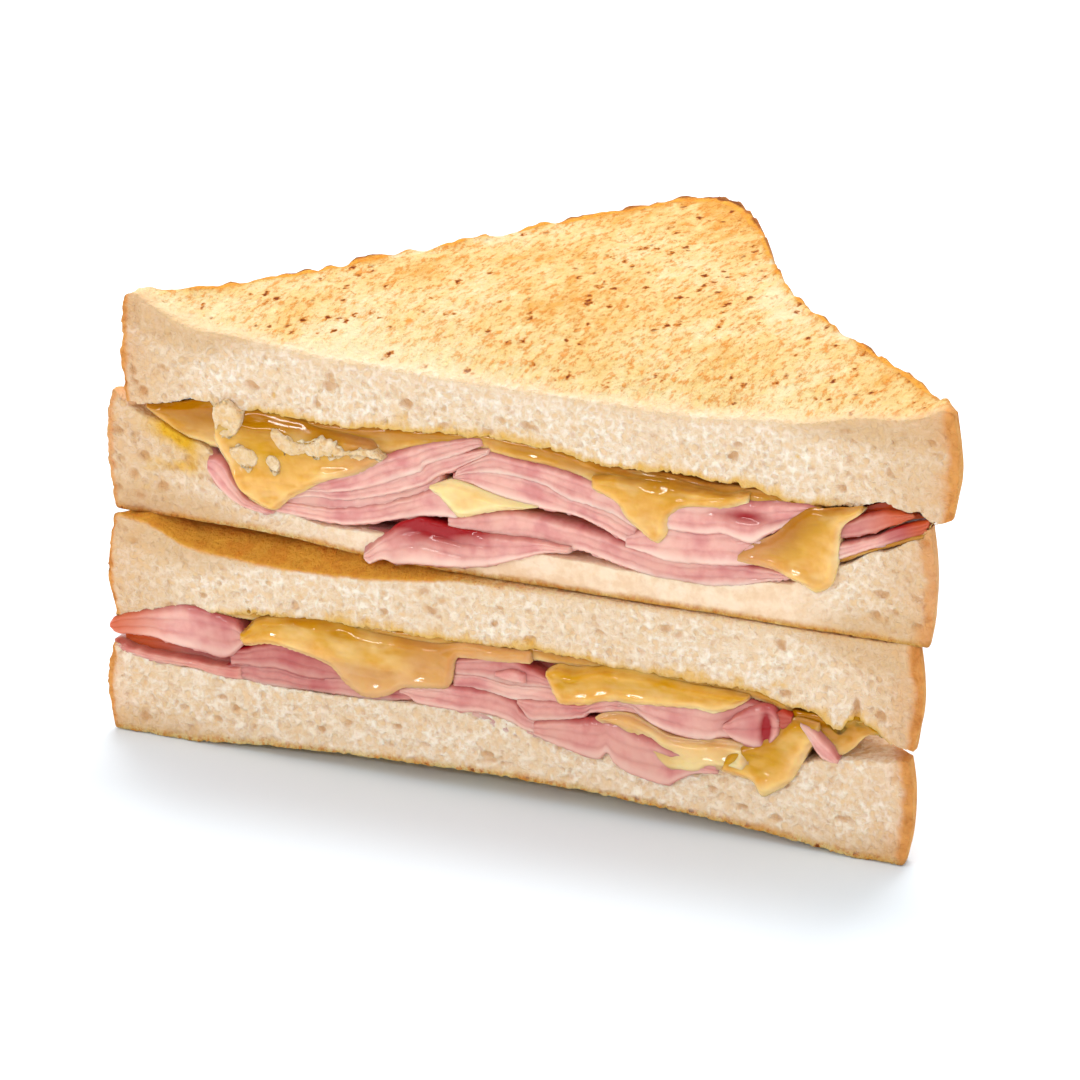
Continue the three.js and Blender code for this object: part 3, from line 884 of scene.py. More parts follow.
def bread_marks(loaf, wet, scorch, fade=even(0), soak=even(0), pale_end=0.0, browned=0.9,
                dense_ends=0.7):
    """How toasted, crusty, hollow, scorched, moist, firm and soaked each point is."""
    x, depth, from_crust, uneven = loaf.x, loaf.depth, loaf.from_crust, loaf.uneven
    toast = 1 - ease(loaf.to_toast, 0.1, browned + 0.45 * browned * uneven)
    toast *= 1 - fade(x) * np.exp(-(depth / (2.0 + uneven)) ** 2)
    to_right, to_left = ease(x, 20, 70), ease(-x, 20, 70)
    skin = 1 - ease(from_crust, 0.2, SKIN + 0.6 * to_right - 0.6 * to_left + 0.5 * uneven)
    tint = (0.42 - 0.14 * to_left) * np.exp(-from_crust / 3.5) * (1 + uneven)
    skin = np.clip(skin + tint, 0, 1) * (1 - pale_end * np.exp(-depth / 12))
    skin *= 1 - 0.75 * toast * ease(from_crust, 0.3, 1.5)
    crumbly = np.clip(0.6 + rough(places(x, loaf.y, 0), 14.0, loaf.seed + 9), 0, 1)
    at_rim = np.exp(-(from_crust / 1.8) ** 2 - (loaf.to_toast / 2.0) ** 2) * ease(depth, 3, 20)
    burn = scorch(x, depth) + 3.0 * at_rim * (crumbly + 0.9 * loaf.crisp)
    firm = np.clip(0.6 * (1 - loaf.to_toast / 6), 0, 1) + dense_ends * ease(np.abs(x), 38, 70)
    # how hollow each point is, which the material paints as shade in the pores
    return dict(toast=toast, crust=skin, pore_shade=loaf.hollow, scorch=burn, moist=wet, firm=firm,
                soaked=soak(x, loaf.to_filling * (1 + uneven)))


print("the crust's skin is", SKIN, "mm thick in the middle")

# %% [markdown]
# ## The steps in order
# One function takes a slice from its plan to the finished piece. How moist the crumb is
# has to be known before its pores open, since moist crumb closes up, and the marks come
# last, because they need every distance that was noted on the way.

# %% From the plan to the slice
def bread(name, node, plan, top, bottom, seed, ends, toasted, moist=even(0), fray=(0.35, 0.6),
          hang=even(0), holes=(), **looks):
    """One slice; toasted is 1 for a toasted top and 0 for a toasted underside."""
    loaf = flat_slice(plan, seed, ends, toasted)
    set_faces(loaf, top, bottom, fray, hang)
    wet = moist(loaf.x, loaf.z)
    open_pores(loaf, wet, holes)
    swell_crust(loaf)
    piece = finish_piece(loaf.block, name, places(loaf.x, loaf.y, loaf.z), plan, BREAD_PAINT,
                         bread_marks(loaf, wet, **looks))
    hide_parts(node)


print("a slice may have", BREAD_ROWS, "rows of faces up its cut")

# %% [markdown]
# ## The slices of the upper half
# Only the outer face of each half was in the toaster: here the top of the first slice and
# the underside of the second. The top is paler at the cut and towards the waist. The first
# slice has melted cheese soaked into its lower edge, and a piece of crumb hangs from it.
# The second is moist under its filling, and its left end is full of deeper holes.

# %% The upper slices
def top_scorch(x, y):
    """How brown the top of the sandwich is."""
    pale_waist = np.exp(-((x - 42) ** 2 + (y - 48) ** 2) / 260)
    pale_edge = np.exp(-y / 4.0)
    return (0.62 - 0.32 * pale_edge - 0.45 * pale_waist + 0.2 * ease(x, 50, 72)
            + 0.14 * ease(y, 55, 85) - 0.08 * ease(-x, 5, 50) * (1 - ease(y, 15, 45)))


def moist_band(x, z):
    return ease(x, -42, -22) * (1 - ease(x, 44, 58)) * ease(z, 35, 37.5)


def soaked_edge(end):
    """Yellow fat in the crumb next to the cheese, from the left to near the given end."""
    return lambda x, d: (0.9 * ease(x, -62, -50) * (1 - ease(x, *end))
                         * np.exp(-(d / 0.9) ** 2))


bread("toast_upper_top", "upper_bread_top", UPPER, upper_crown, upper_ceiling, seed=1,
      ends=(0, -2.2), toasted=1, scorch=top_scorch, fray=(0.2, 1.5),
      hang=hump(-56.5, -49.5, 3.0), fade=even(0.9), soak=soaked_edge((52, 60)),
      holes=[spot_at(-69.7, 60.3, 1.1, 0.9, 0.9), spot_at(-66, 65, 0.9, 0.7, 0.7),
             spot_at(-71.2, 63.6, 0.7, 1.1, 0.8), spot_at(-62.5, 62, 0.8, 0.6, 0.6)])
bread("toast_upper_bottom", "upper_bread_bottom", UPPER, upper_seat, upper_floor, seed=4,
      ends=(2.9, -5.6), toasted=0, moist=moist_band, scorch=even(0.85), fray=(0.4, 0.22),
      pale_end=0.25, browned=1.3,
      soak=lambda x, d: 1.5 * np.exp(-((x + 63.5) / 5) ** 2 - (d / 3.2) ** 2),
      holes=[spot_at(-69.5, 48.9, 1.2, 1.0, 1.0), spot_at(-66.4, 44, 1.3, 0.9, 0.9),
             spot_at(-71.5, 45.4, 0.9, 1.1, 0.8), spot_at(-63.8, 47.5, 0.8, 0.6, 0.7),
             spot_at(-70.6, 41.6, 1.1, 0.7, 0.7)])

# %% [markdown]
# ## The slices of the lower half
# The third slice is toasted on top. It is browner where the slice over it curls up and
# lets it show, and a narrow hole at its right lets the cheese through. The bottom slice is
# toasted underneath.

# %% The lower slices
bread("toast_lower_top", "lower_bread_top", LOWER, lower_crown, lower_ceiling, seed=7,
      ends=(-1.4, -2.8), toasted=1, scorch=lambda x, y: 1.0 - 0.25 * ease(x, -20, 5),
      fray=(0.25, 1.2), holes=[spot_at(59.2, 24.5, 0.7, 2.6)], fade=toward(0.75, -14, 10),
      soak=soaked_edge((62, 68)))
bread("toast_lower_bottom", "lower_bread_bottom", LOWER, lower_seat, lower_floor, seed=11,
      ends=(-0.6, -3.4), toasted=0, scorch=even(0.7), fray=(0.5, 0.6), browned=1.5,
      dense_ends=0.45)

# %% [markdown]
# ## Edges of ham and cheese
# At the cut, every slice of ham and every run of cheese is a band that narrows, folds or
# hangs down. A band lies between two smooth lines along the cut, its lower edge and its
# upper edge. Each line is drawn through stations, so few numbers make a smooth edge.

# %% Lines through stations
def through(stations, shares_of_length):
    """Points at the given shares of the length of a smooth line through stations."""
    points = np.array(stations, float)
    ends = 2 * points[[0, -1]] - points[[1, -2]]
    points = np.concatenate([ends[:1], points, ends[1:]])
    t = np.linspace(0, 1, 12, endpoint=False)[:, None]
    runs = [0.5 * (2 * b + (c - a) * t + (2 * a - 5 * b + 4 * c - d) * t ** 2
                   + (3 * b - a - 3 * c + d) * t ** 3)
            for a, b, c, d in zip(points, points[1:], points[2:], points[3:])]
    line = np.concatenate(runs + [points[-2:-1]])
    length = np.concatenate([[0], np.cumsum(np.linalg.norm(np.diff(line, axis=0), axis=1))])
    at = np.asarray(shares_of_length) * length[-1]
    return np.stack([np.interp(at, length, line[:, k]) for k in (0, 1)], 1)


def rim_distance(points, low, high):
    """How far each point lies from the outline between a lower and an upper line."""
    steps = np.linspace(0, 1, 160)
    below, above = through(low, steps), through(high, steps)
    sides = [end_low + (end_high - end_low) * steps[::8, None]
             for end_low, end_high in ((below[0], above[0]), (below[-1], above[-1]))]
    outline = np.concatenate([below, above] + sides)
    return np.sqrt(((points[:, None] - outline[None]) ** 2).sum(2).min(1))


print("halfway along an arc:", through([(0, 0), (1, 1), (2, 0)], [0.5]).round(2).tolist())

# %% [markdown]
# ## A band
# A thin block is stretched between the two lines, with cells of about the same size in
# every band. Its front is rounded towards its rim, and its back tapers into the sandwich,
# where the bread above and below holds it. Deep red ham and thin cheese lie further back.

# %% Shaping a band
BAND_CELL = 0.34
BAND_DEPTH = 9.0
BAND_LAYERS = 5
BACK_TAPER = 0.3  # share by which a band is narrower at its back
DEEP_HOLLOW = 0.8  # mm that the deepest ham and the thinnest cheese lie back
HELD_BEHIND = 0.4  # mm behind the cut from where the bread holds a band


def band_block(low, high):
    """A block of even cells for the band between two lines; its front is at depth 0."""
    steps = np.linspace(0, 1, 40)
    height = np.linalg.norm(through(high, steps) - through(low, steps), axis=1).max()
    length = np.abs(np.diff(through(low, np.linspace(0, 1, 80)), axis=0)).sum()
    along, across = int(length / BAND_CELL) + 4, int(height / BAND_CELL) + 4
    block = bmesh.new()
    bmesh.ops.create_grid(block, x_segments=along, y_segments=across, size=0.5)
    bmesh.ops.translate(block, verts=block.verts, vec=(0.5, 0.5, 0))
    raise_walls(block, BAND_LAYERS)
    return block


def band(name, plan, low, high, back, proud, paint, relief, marks, depth=BAND_DEPTH, lip=0.9,
         frill=0.12, sink=-0.3, tuck=0.0, seed=1):
    """A band that stands proud of its back; relief and marks are functions of its points.

    Lip is the width of its rounded rim, frill how ragged its lines are, tuck how far its
    top goes back under the bread, and sink how far it may go into the bread above.
    """
    block = band_block(low, high)
    u, v, d = shares(block)
    below, above = through(low, u), through(high, u)
    for line, shift in ((below, 0), (above, 40)):
        line[:, 1] += frill * rough(places(line[:, 0], shift, 9 * seed), 1.4, seed)
    flat = below + (above - below) * v[:, None]
    rim = rim_distance(flat, low, high)
    dome = np.sqrt(1 - (1 - np.clip(rim / lip, 0, 1)) ** 2)
    middle = (below + above) / 2
    x, z = (middle + (flat - middle) * (1 - BACK_TAPER * d)[:, None]).T
    front = d < 1e-6
    spot = places(x, 0, z)
    values = marks(spot, v, rim, seed)
    pushed = relief(spot, v, rim, seed) + DEEP_HOLLOW * values.get("deep", values.get("thin", 0))
    y = back + depth * d - front * dome * (proud - pushed) + tuck * front * ease(v, 0.7, 1.0)
    ceiling, seat = filling_gap(plan)
    held = np.clip(z, seat(x, y) + 0.3, ceiling(x, y) + sink)
    return finish_piece(block, name, places(x, y, np.where(y > HELD_BEHIND, held, z)), plan,
                        paint, values)


print("bands have cells of", BAND_CELL, "mm")

# %% [markdown]
# ## Cooked ham
# Pressed ham is pink and wet, with short fibres that run along each slice. A paler lower
# edge is painted on each slice as a highlight. Deep red is painted shade in the grooves,
# under the slice above and in recesses, and in part the ham's own darker red. Light enters
# it a little way, so its shadows glow. Its marks say where it is pale, deep or browned.

# %% The ham material
def ham_paint():
    paint = Paint("cooked_ham", Subsurface_Weight=0.45, Subsurface_Scale=0.0018,
                  Subsurface_Radius=(1.0, 0.45, 0.35), Specular_IOR_Level=0.15,
                  Coat_Weight=0.35, Coat_Roughness=0.07)
    pale, deep, brown = (paint.mark(name) for name in ("pale", "deep", "brown"))
    fibres = paint.grain(1.3, detail=4.0, where=paint.stretch(0.8, 1, 0.7))
    patches = paint.grain(6.0, detail=2.0)
    pink = paint.mix(paint.span(fibres, 0.3, 0.75), tone(234, 173, 160), tone(223, 154, 144))
    pink = paint.mix(paint.span(patches, 0.45, 0.7, 0, 0.8), pink, tone(238, 186, 168))
    pink = paint.mix(paint.span(patches, 0.5, 0.3, 0, 0.7), pink, tone(208, 124, 122))
    # pale: a painted highlight on each slice's lower edge, with the ham's own paler patches
    pink = paint.mix(pale, pink, tone(248, 210, 192))
    # deep: painted shade in grooves, recesses and under other slices, partly the ham's own red
    pink = paint.mix(deep, pink, tone(162, 18, 24))
    pink = paint.mix(brown, pink, tone(204, 88, 28))
    shine = paint.span(paint.grain(2.0, detail=3.0), 0.3, 0.7, 0.28, 0.5)
    normal = paint.bump(fibres, 0.09)
    normal = paint.bump(paint.grain(0.6, detail=2.0), 0.05, normal)
    return paint.finish(pink, shine, normal)


HAM_PAINT = ham_paint()

# %% [markdown]
# ## The grain of ham
# One slice of ham is itself pressed from thin sheets. Two fine grooves run along its cut
# edge between them, broken here and there, and the edge is torn into short fibres.

# %% The relief and the marks of ham
SHEET_PLACES = (0.36, 0.68)  # shares of a slice's height at which its grooves run


def groove_lines(spot, v, seed, width):
    """1 on the wavering lines between the sheets of one slice, and less beside them."""
    line = v + 0.12 * swell(spot * [1, 1, 0] + [0, 0, 31.0 * seed], 9.0, seed)
    return sum(np.exp(-((line - place) / width) ** 2) for place in SHEET_PLACES)


def ham_relief(spot, v, rim, seed):
    """Fine grooves between the thin sheets of one slice, and its fibres."""
    broken = np.clip(0.5 + rough(spot * [1, 1, 0], 8.0, seed + 3), 0, 1)
    torn = np.exp(-rim / 0.9) * np.abs(rough(spot * [1, 1, 0.5], 1.1, seed + 6, octaves=2))
    return (0.2 * groove_lines(spot, v, seed, 0.035) * broken + 0.4 * torn
            + 0.22 * rough(spot * [0.5, 1, 1], 5.0, seed + 2, octaves=1))


def ham_marks(spot, v, rim, seed, brown=even(0), deep=even(0)):
    """Painted light: a highlight on the lower edge, shade in grooves and under the layer above.
    """
    x, z = spot[:, 0], spot[:, 2]
    # low_edge is a painted highlight along the lower edge of each slice
    low_edge = np.exp(-((v - 0.12) / 0.12) ** 2) * ease(rim, 0.1, 0.5)
    streaks = np.clip(rough(spot * [0.35, 1, 1], 2.6, seed + 5), 0, 1)
    # red is painted shade in the grooves, under the layer above and where a band sets deep; the
    # streaks are the ham's own darker red
    red = (0.1 * groove_lines(spot, v, seed, 0.04) + deep(x, z) + 0.5 * ease(v, 0.8, 1.0)
           + 0.22 * streaks)
    return dict(pale=np.clip(0.8 * low_edge + 0.3 * rough(spot, 5.0, seed + 4), 0, 1),
                deep=np.clip(red, 0, 1), brown=np.clip(brown(x, z), 0, 1))


print("marks of the ham: pale, deep, brown")

# %% [markdown]
# ## Melted cheese
# Sliced cheese melts into smooth tongues that run over the ham and set with a glossy
# skin. Thick cheese is a soft peach yellow, and it goes to a darker amber under the bread,
# in part painted shade there. Light that enters it and a thin coat do most of the work.
# Four marks lead its colour: amber, yellow, pale, which also paints a highlight along its
# rim, and thin, where the ham under it shows.

# %% The cheese material
def cheese_paint():
    paint = Paint("melted_cheese", Subsurface_Weight=0.6, Subsurface_Scale=0.002,
                  Subsurface_Radius=(1.0, 0.6, 0.2), Specular_IOR_Level=0.05,
                  Coat_Weight=0.6, Coat_Roughness=0.08)
    amber, yellow, pale, thin = (paint.mark(name)
                                 for name in ("amber", "yellow", "pale", "thin"))
    cloudy = paint.grain(3.5, detail=3.0)
    body = paint.mix(paint.span(cloudy, 0.35, 0.7), tone(240, 186, 98), tone(225, 162, 68))
    streak = paint.span(paint.grain(4.0, detail=3.0, where=paint.stretch(0.4, 1, 1)), 0.36, 0.6)
    fatty = paint.times(yellow, paint.span(streak, 0.0, 1.0, 0.62, 1.0))
    body = paint.mix(fatty, body, tone(208, 150, 0))
    # pale: the cheese's own pale hem and patches, with a painted highlight along its rim
    body = paint.mix(pale, body, tone(254, 226, 164))
    # amber: darker towards the top under the bread, in part painted shade
    darker = paint.times(amber, paint.span(streak, 0.0, 1.0, 0.7, 1.0))
    body = paint.mix(darker, body, tone(178, 112, 0))
    body = paint.mix(paint.times(thin, 0.75), body, tone(206, 142, 92))
    shine = paint.span(paint.grain(1.5, detail=3.0), 0.3, 0.7, 0.14, 0.3)
    normal = paint.bump(paint.grain(3.0, detail=2.0), 0.4)
    drawn = paint.stretch(0.18, 1, 1)
    normal = paint.bump(paint.grain(1.8, detail=1.0, where=drawn), 0.8, normal)
    return paint.finish(body, shine, normal)


CHEESE_PAINT = cheese_paint()

# %% [markdown]
# ## How cheese runs
# Running cheese swells softly, thins out above its thick hem and folds where it leaves the
# bread. The hem is peach, the middle yellow with its own fat, and the top a darker amber,
# in part painted shade under the bread.

# %% The relief and the marks of cheese
def cheese_relief(spot, v, rim, seed):
    """Soft swells, and a fold where the cheese leaves the bread."""
    bead = np.exp(-((rim - 0.9) / 0.6) ** 2) * (1 - ease(v, 0.5, 0.8))
    return (0.3 * rough(spot, 4.0, seed, octaves=2) + 0.5 * ease(v, 0.75, 1.0)
            + 0.35 * ease(rim, 1.0, 3.0) - 0.15 * bead
            + 0.4 * rough(spot * [0.25, 1, 1], 2.2, seed + 7, octaves=2))


def cheese_marks(spot, v, rim, seed, amber=(0.55, 1.05), yellow=0.6, pale=0.0, thin=even(0),
                 veil=0.25):
    """Peach at the hem, yellow in the middle, amber under the bread partly as painted shade."""
    height = v + 0.15 * rough(spot, 4.0, seed + 2)
    # the rim term paints a highlight along the edge; the rest is the cheese's own paler hem
    light = (pale + 0.35 * (1 - ease(v, 0.05, 0.45)) + 0.35 * np.exp(-(rim / 0.5) ** 2)
             + 0.55 * rough(spot * [0.6, 1, 1], 3.0, seed + 3))
    sheer = thin(spot[:, 0], spot[:, 2]) + veil * np.exp(-(rim / 0.9) ** 2)
    return dict(amber=np.clip(ease(height, *amber), 0, 1),
                yellow=np.clip(yellow * ease(height, 0.2, 0.7), 0, 1),
                pale=np.clip(light, 0, 1), thin=np.clip(sheer, 0, 1))


print("marks of the cheese: amber, yellow, pale, thin")

# %% [markdown]
# ## Scraps of crumb
# When the top slice was pulled about, scraps of its crumb tore off and stuck to the cheese
# at the upper left. Each is a short band of bread, as rough as it is thick, with a few of
# the bread's marks left at nothing, since it has neither toast nor crust.

# %% The scraps
def scrap_relief(spot, v, rim, seed):
    """Lumps and small bubbles all over."""
    return 0.35 * rough(spot, 1.2, seed) + 0.35 * pits(spot, 0.9, seed)


def scrap_marks(spot, v, rim, seed):
    """Raw crumb with some yellow fat in it."""
    none = 0 * v
    # the small bubbles of a scrap are painted as shade, like the pores of the cut
    return dict(toast=none, crust=none, pore_shade=0.6 * pits(spot, 1.0, seed), scorch=none,
                moist=none, firm=none, soaked=none + 0.35)


SCRAPS = {
    "flake_hanging": dict(
        back=-0.6, proud=1.2,
        low=[(-55.7, 58), (-55, 56), (-53.7, 55), (-51.6, 55.5), (-50.3, 57.3)],
        high=[(-55.7, 60), (-54, 61), (-52.2, 60.8), (-50.3, 59.4)]),
    "flake_left": dict(
        back=-0.6, proud=1.15,
        low=[(-52.8, 52.6), (-51.8, 51), (-50, 50.2), (-48, 50.6), (-47.2, 52)],
        high=[(-52.8, 53), (-50.5, 53.8), (-48.2, 53.4), (-47.2, 52.4)]),
    "flake_small": dict(
        back=-0.6, proud=1.15,
        low=[(-46, 51.8), (-45, 50.4), (-43.6, 50.2), (-43.2, 51.6)],
        high=[(-46, 52.4), (-45, 53.2), (-43.8, 52.8), (-43.2, 52)]),
    "flake_long": dict(
        back=-0.6, proud=1.15,
        low=[(-45, 56.4), (-43.6, 54.4), (-41.2, 53.4), (-37.5, 53.8), (-33.5, 54.4), (-29, 55.2),
             (-24.2, 55)],
        high=[(-45, 57.4), (-43.4, 57.4), (-40.4, 56), (-37.6, 56.2), (-35.8, 57.4), (-33.2, 57),
              (-32.2, 55.9), (-26.8, 56.6), (-24.2, 55.6)]),
}
for number, (name, shape) in enumerate(SCRAPS.items()):
    scrap = band(name, UPPER, paint=BREAD_PAINT, relief=scrap_relief, marks=scrap_marks,
                 depth=1.6, lip=0.35, frill=1.0, seed=number + 60, **shape)

# %% [markdown]
# ## From a table to bands
# Each band is one entry of a table: the node it belongs to, its lower and its upper line
# from left to right, in millimetres along the cut and up from the table, and what is
# special about its marks. Back says how far behind the cut its rim lies, and proud how far
# it swells forward from there. Ham has a thin ragged rim, and cheese a broad round one.

# %% Filling a half
FILLINGS = {
    "ham": (HAM_PAINT, ham_relief, ham_marks, dict(lip=0.5, frill=0.25)),
    "melted_cheese": (CHEESE_PAINT, cheese_relief, cheese_marks, dict(lip=1.4)),
}


def fill(half, plan, slot, table):
    """Makes every band of one table; each stands for the layer that it is the edge of."""
    paint, relief, marks, edge = FILLINGS[slot]
    for number, (name, entry) in enumerate(table.items()):
        shape = {**edge, **entry}
        node, own = shape.pop("node"), shape.pop("marks", {})
        piece = band(half + "_" + name, plan, paint=paint, relief=relief,
                     marks=partial(marks, **own), seed=number + 3, **shape)
        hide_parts(half + "_" + node)


print("fillings:", *FILLINGS)

# %% [markdown]
# ## Ham of the upper half
# Four slices were laid in loosely. At the left they climb and end in a curl, in the middle
# one hangs down as a tongue, and at the right they run up into the narrow end of the gap,
# where they have browned a little.

# %% The upper ham
# Where a band's marks set deep, it is painted shade in a hollow or gap, in part with the ham's
# own darker red.
UPPER_HAM = {
    "ham_a": dict(
        node="ham_1", back=0.5, proud=1.1,
        low=[(-40, 47), (-33.9, 47.6), (-29.3, 48.8), (-24.7, 50.5), (-18.3, 53.4), (-17, 54.9),
             (-12.4, 56.9), (-7, 59.6)],
        high=[(-40, 48.5), (-35.3, 50.2), (-29.3, 52.6), (-25.1, 55.4), (-18.3, 58.4),
              (-12.4, 60.1), (-7.9, 60.9), (-7, 60.3)]),
    "ham_b": dict(
        node="ham_1", back=0.8, proud=1.1,
        low=[(-44, 44.4), (-38.5, 46.1), (-32.1, 46.4), (-24.8, 48.4), (-17.9, 51.1),
             (-14.7, 53.3), (-11.6, 54.9), (-5.7, 58.4)],
        high=[(-44, 46), (-38.5, 48.2), (-33.9, 48.4), (-29.3, 49.6), (-24.7, 51.3),
              (-18.3, 54.2), (-17, 55.6), (-12.4, 57.7), (-5.7, 59.4)]),
    "ham_c": dict(
        node="ham_3", back=1.1, proud=1.1,
        low=[(-47, 43.2), (-41.4, 43.7), (-36.7, 43.7), (-32.1, 44.3), (-24.8, 46.2),
             (-19.3, 48.3), (-17, 50.2), (-14.5, 52.2)],
        high=[(-47, 44.4), (-42.3, 45.6), (-38.5, 47.1), (-32.1, 47.4), (-24.8, 49.4),
              (-17.9, 52.1), (-14.5, 53.7)]),
    "ham_d": dict(
        node="ham_3", back=0.6, proud=0.9,
        low=[(-52.1, 43.3), (-48.8, 42.6), (-41.4, 42.4), (-34.5, 42.1), (-30.8, 42.3),
             (-24.8, 43.8), (-21.1, 44.9), (-16.6, 46), (-11.4, 46.3)],
        high=[(-52.1, 44.4), (-46, 44.6), (-41.4, 44.9), (-36.7, 44.9), (-32.1, 45.5),
              (-24.8, 47.4), (-19.3, 49.5), (-14.5, 51.6), (-11.4, 50)]),
    "ham_curl": dict(
        node="ham_3", back=-0.2, proud=1.1,
        low=[(-57.3, 49.3), (-57.1, 48.2), (-55.3, 45.8), (-52.1, 43.4), (-47.9, 42.3),
             (-45, 42.4)],
        high=[(-57.3, 50.1), (-55.8, 51.1), (-53.9, 50.4), (-52.4, 47.6), (-50.8, 45.4),
              (-48.8, 44.1), (-45, 43.2)]),
    "ham_g": dict(
        node="ham_1", back=0.5, proud=1.0,
        low=[(-12, 53.6), (-9, 54.6), (-5.2, 55.1), (-1.5, 55.1), (3.8, 54.4), (7.9, 52.7),
             (12.6, 51.9), (16.3, 51.2), (20.5, 49.4)],
        high=[(-12, 54.4), (-11, 55.6), (-5.7, 58.6), (-1, 58.4), (5.3, 57.9), (12.6, 56.5),
              (17, 55.4), (20.5, 52)]),
    "ham_h": dict(
        node="ham_2", back=0.7, proud=1.1,
        low=[(-12.6, 53.2), (-9.5, 52.8), (-4.1, 51.4), (2.7, 50.4), (9, 50.1), (13.7, 48.8),
             (18.6, 46.8), (20.4, 46.6)],
        high=[(-12.6, 53.9), (-9, 55.4), (-5.2, 56.1), (-1.5, 56.1), (3.8, 55.4), (7.9, 53.7),
              (12.6, 52.9), (16.3, 52.2), (20.4, 50.4)]),
    "ham_i": dict(
        node="ham_4", back=0.9, proud=1.1, marks=dict(deep=toward(0.15, 5, 25)),
        low=[(-13.6, 43.6), (-7.3, 42.8), (-1.5, 43.7), (2.7, 44), (7.4, 43.7), (10.6, 44.1),
             (14.7, 43.2), (18.9, 42.3), (24.1, 41.4), (31.3, 41.3), (37.5, 42.1), (42.1, 43.4),
             (48, 45.1)],
        high=[(-13.6, 46.4), (-7.8, 48), (-1.5, 49.2), (6.4, 48.7), (14.7, 47.6), (19.9, 46.4),
              (27.2, 45.6), (32.3, 46), (38, 46.4), (48, 46)]),
    # the deep spot of ham_e is painted shade in the hollow of its fold
    "ham_e": dict(
        node="ham_4", back=-0.2, proud=1.1, marks=dict(deep=spot_at(-16, 44.2, 8, 2.2, 1.2)),
        low=[(-28.5, 37.2), (-27.2, 36.3), (-24.9, 37.4), (-22.6, 37), (-18.5, 37.5),
             (-11.6, 38.1), (-5.8, 39.2), (-0.4, 41.2), (4.1, 42.9), (9, 43.9)],
        high=[(-28.5, 37.9), (-27.6, 38.9), (-23.9, 42.6), (-21.5, 44.6), (-18, 45.6), (-13, 45),
              (-4.4, 44.9), (1.9, 45.2), (9, 44.8)]),
    "ham_j": dict(
        node="ham_2", back=0.6, proud=1.1,
        low=[(18.3, 46), (22, 45.5), (26.2, 44.7), (32.3, 45.1), (38, 45.7), (43, 47)],
        high=[(18.3, 48.4), (22, 50), (25.6, 51.2), (32.3, 51.4), (35.8, 52.2), (43, 52)]),
    "ham_k": dict(
        node="ham_1", back=0.2, proud=1.0, marks=dict(deep=spot_at(39.5, 54.6, 4.5, 1.2, 0.8)),
        low=[(24, 50), (26.6, 50.3), (32.3, 50.4), (35.8, 51), (40.5, 50.1), (44, 52.4),
             (52, 56.8)],
        high=[(24, 54.4), (26.1, 55), (31, 56), (35.3, 56.6), (44.4, 57.8), (50, 58.2),
              (52, 57.8)]),
    "ham_m1": dict(
        node="ham_2", back=0.5, proud=0.8, marks=dict(deep=even(0.4), brown=toward(0.8, 58, 66)),
        low=[(53, 52.2), (55.4, 53.2), (59.3, 54.2), (62.2, 55.4), (65.1, 57), (68, 58.6)],
        high=[(53, 54.4), (55.4, 55.6), (58.1, 57), (61.4, 58.4), (64.3, 58.9), (68, 59.2)]),
    "ham_m2": dict(
        node="ham_3", back=0.3, proud=0.9,
        marks=dict(deep=toward(0.7, 61, 67), brown=toward(0.7, 65, 69.5)),
        low=[(53, 48.5), (55.3, 49.5), (58.6, 51.1), (61.5, 52.5), (64.4, 53.7), (67.4, 55),
             (70.4, 56.6)],
        high=[(53, 51.2), (55.4, 52.3), (59.3, 53.6), (62.2, 54.8), (65.1, 56.4), (70.4, 58.4)]),
    # ham_m0 lies far back and is painted deep red all over as the shade of the gap; its brown is
    # real browning
    "ham_m0": dict(
        node="ham_1", back=1.7, proud=0.6,
        marks=dict(deep=even(1.0), brown=lambda x, z: 0.4 + 0.5 * ease(x, 58, 66)),
        low=[(54, 50.5), (58, 53), (62, 55), (66, 57), (69, 58)],
        high=[(54, 59.4), (59.3, 60), (62.5, 60.8), (66.9, 59.8), (69, 59.2)]),
}
fill("upper", UPPER, "ham", UPPER_HAM)
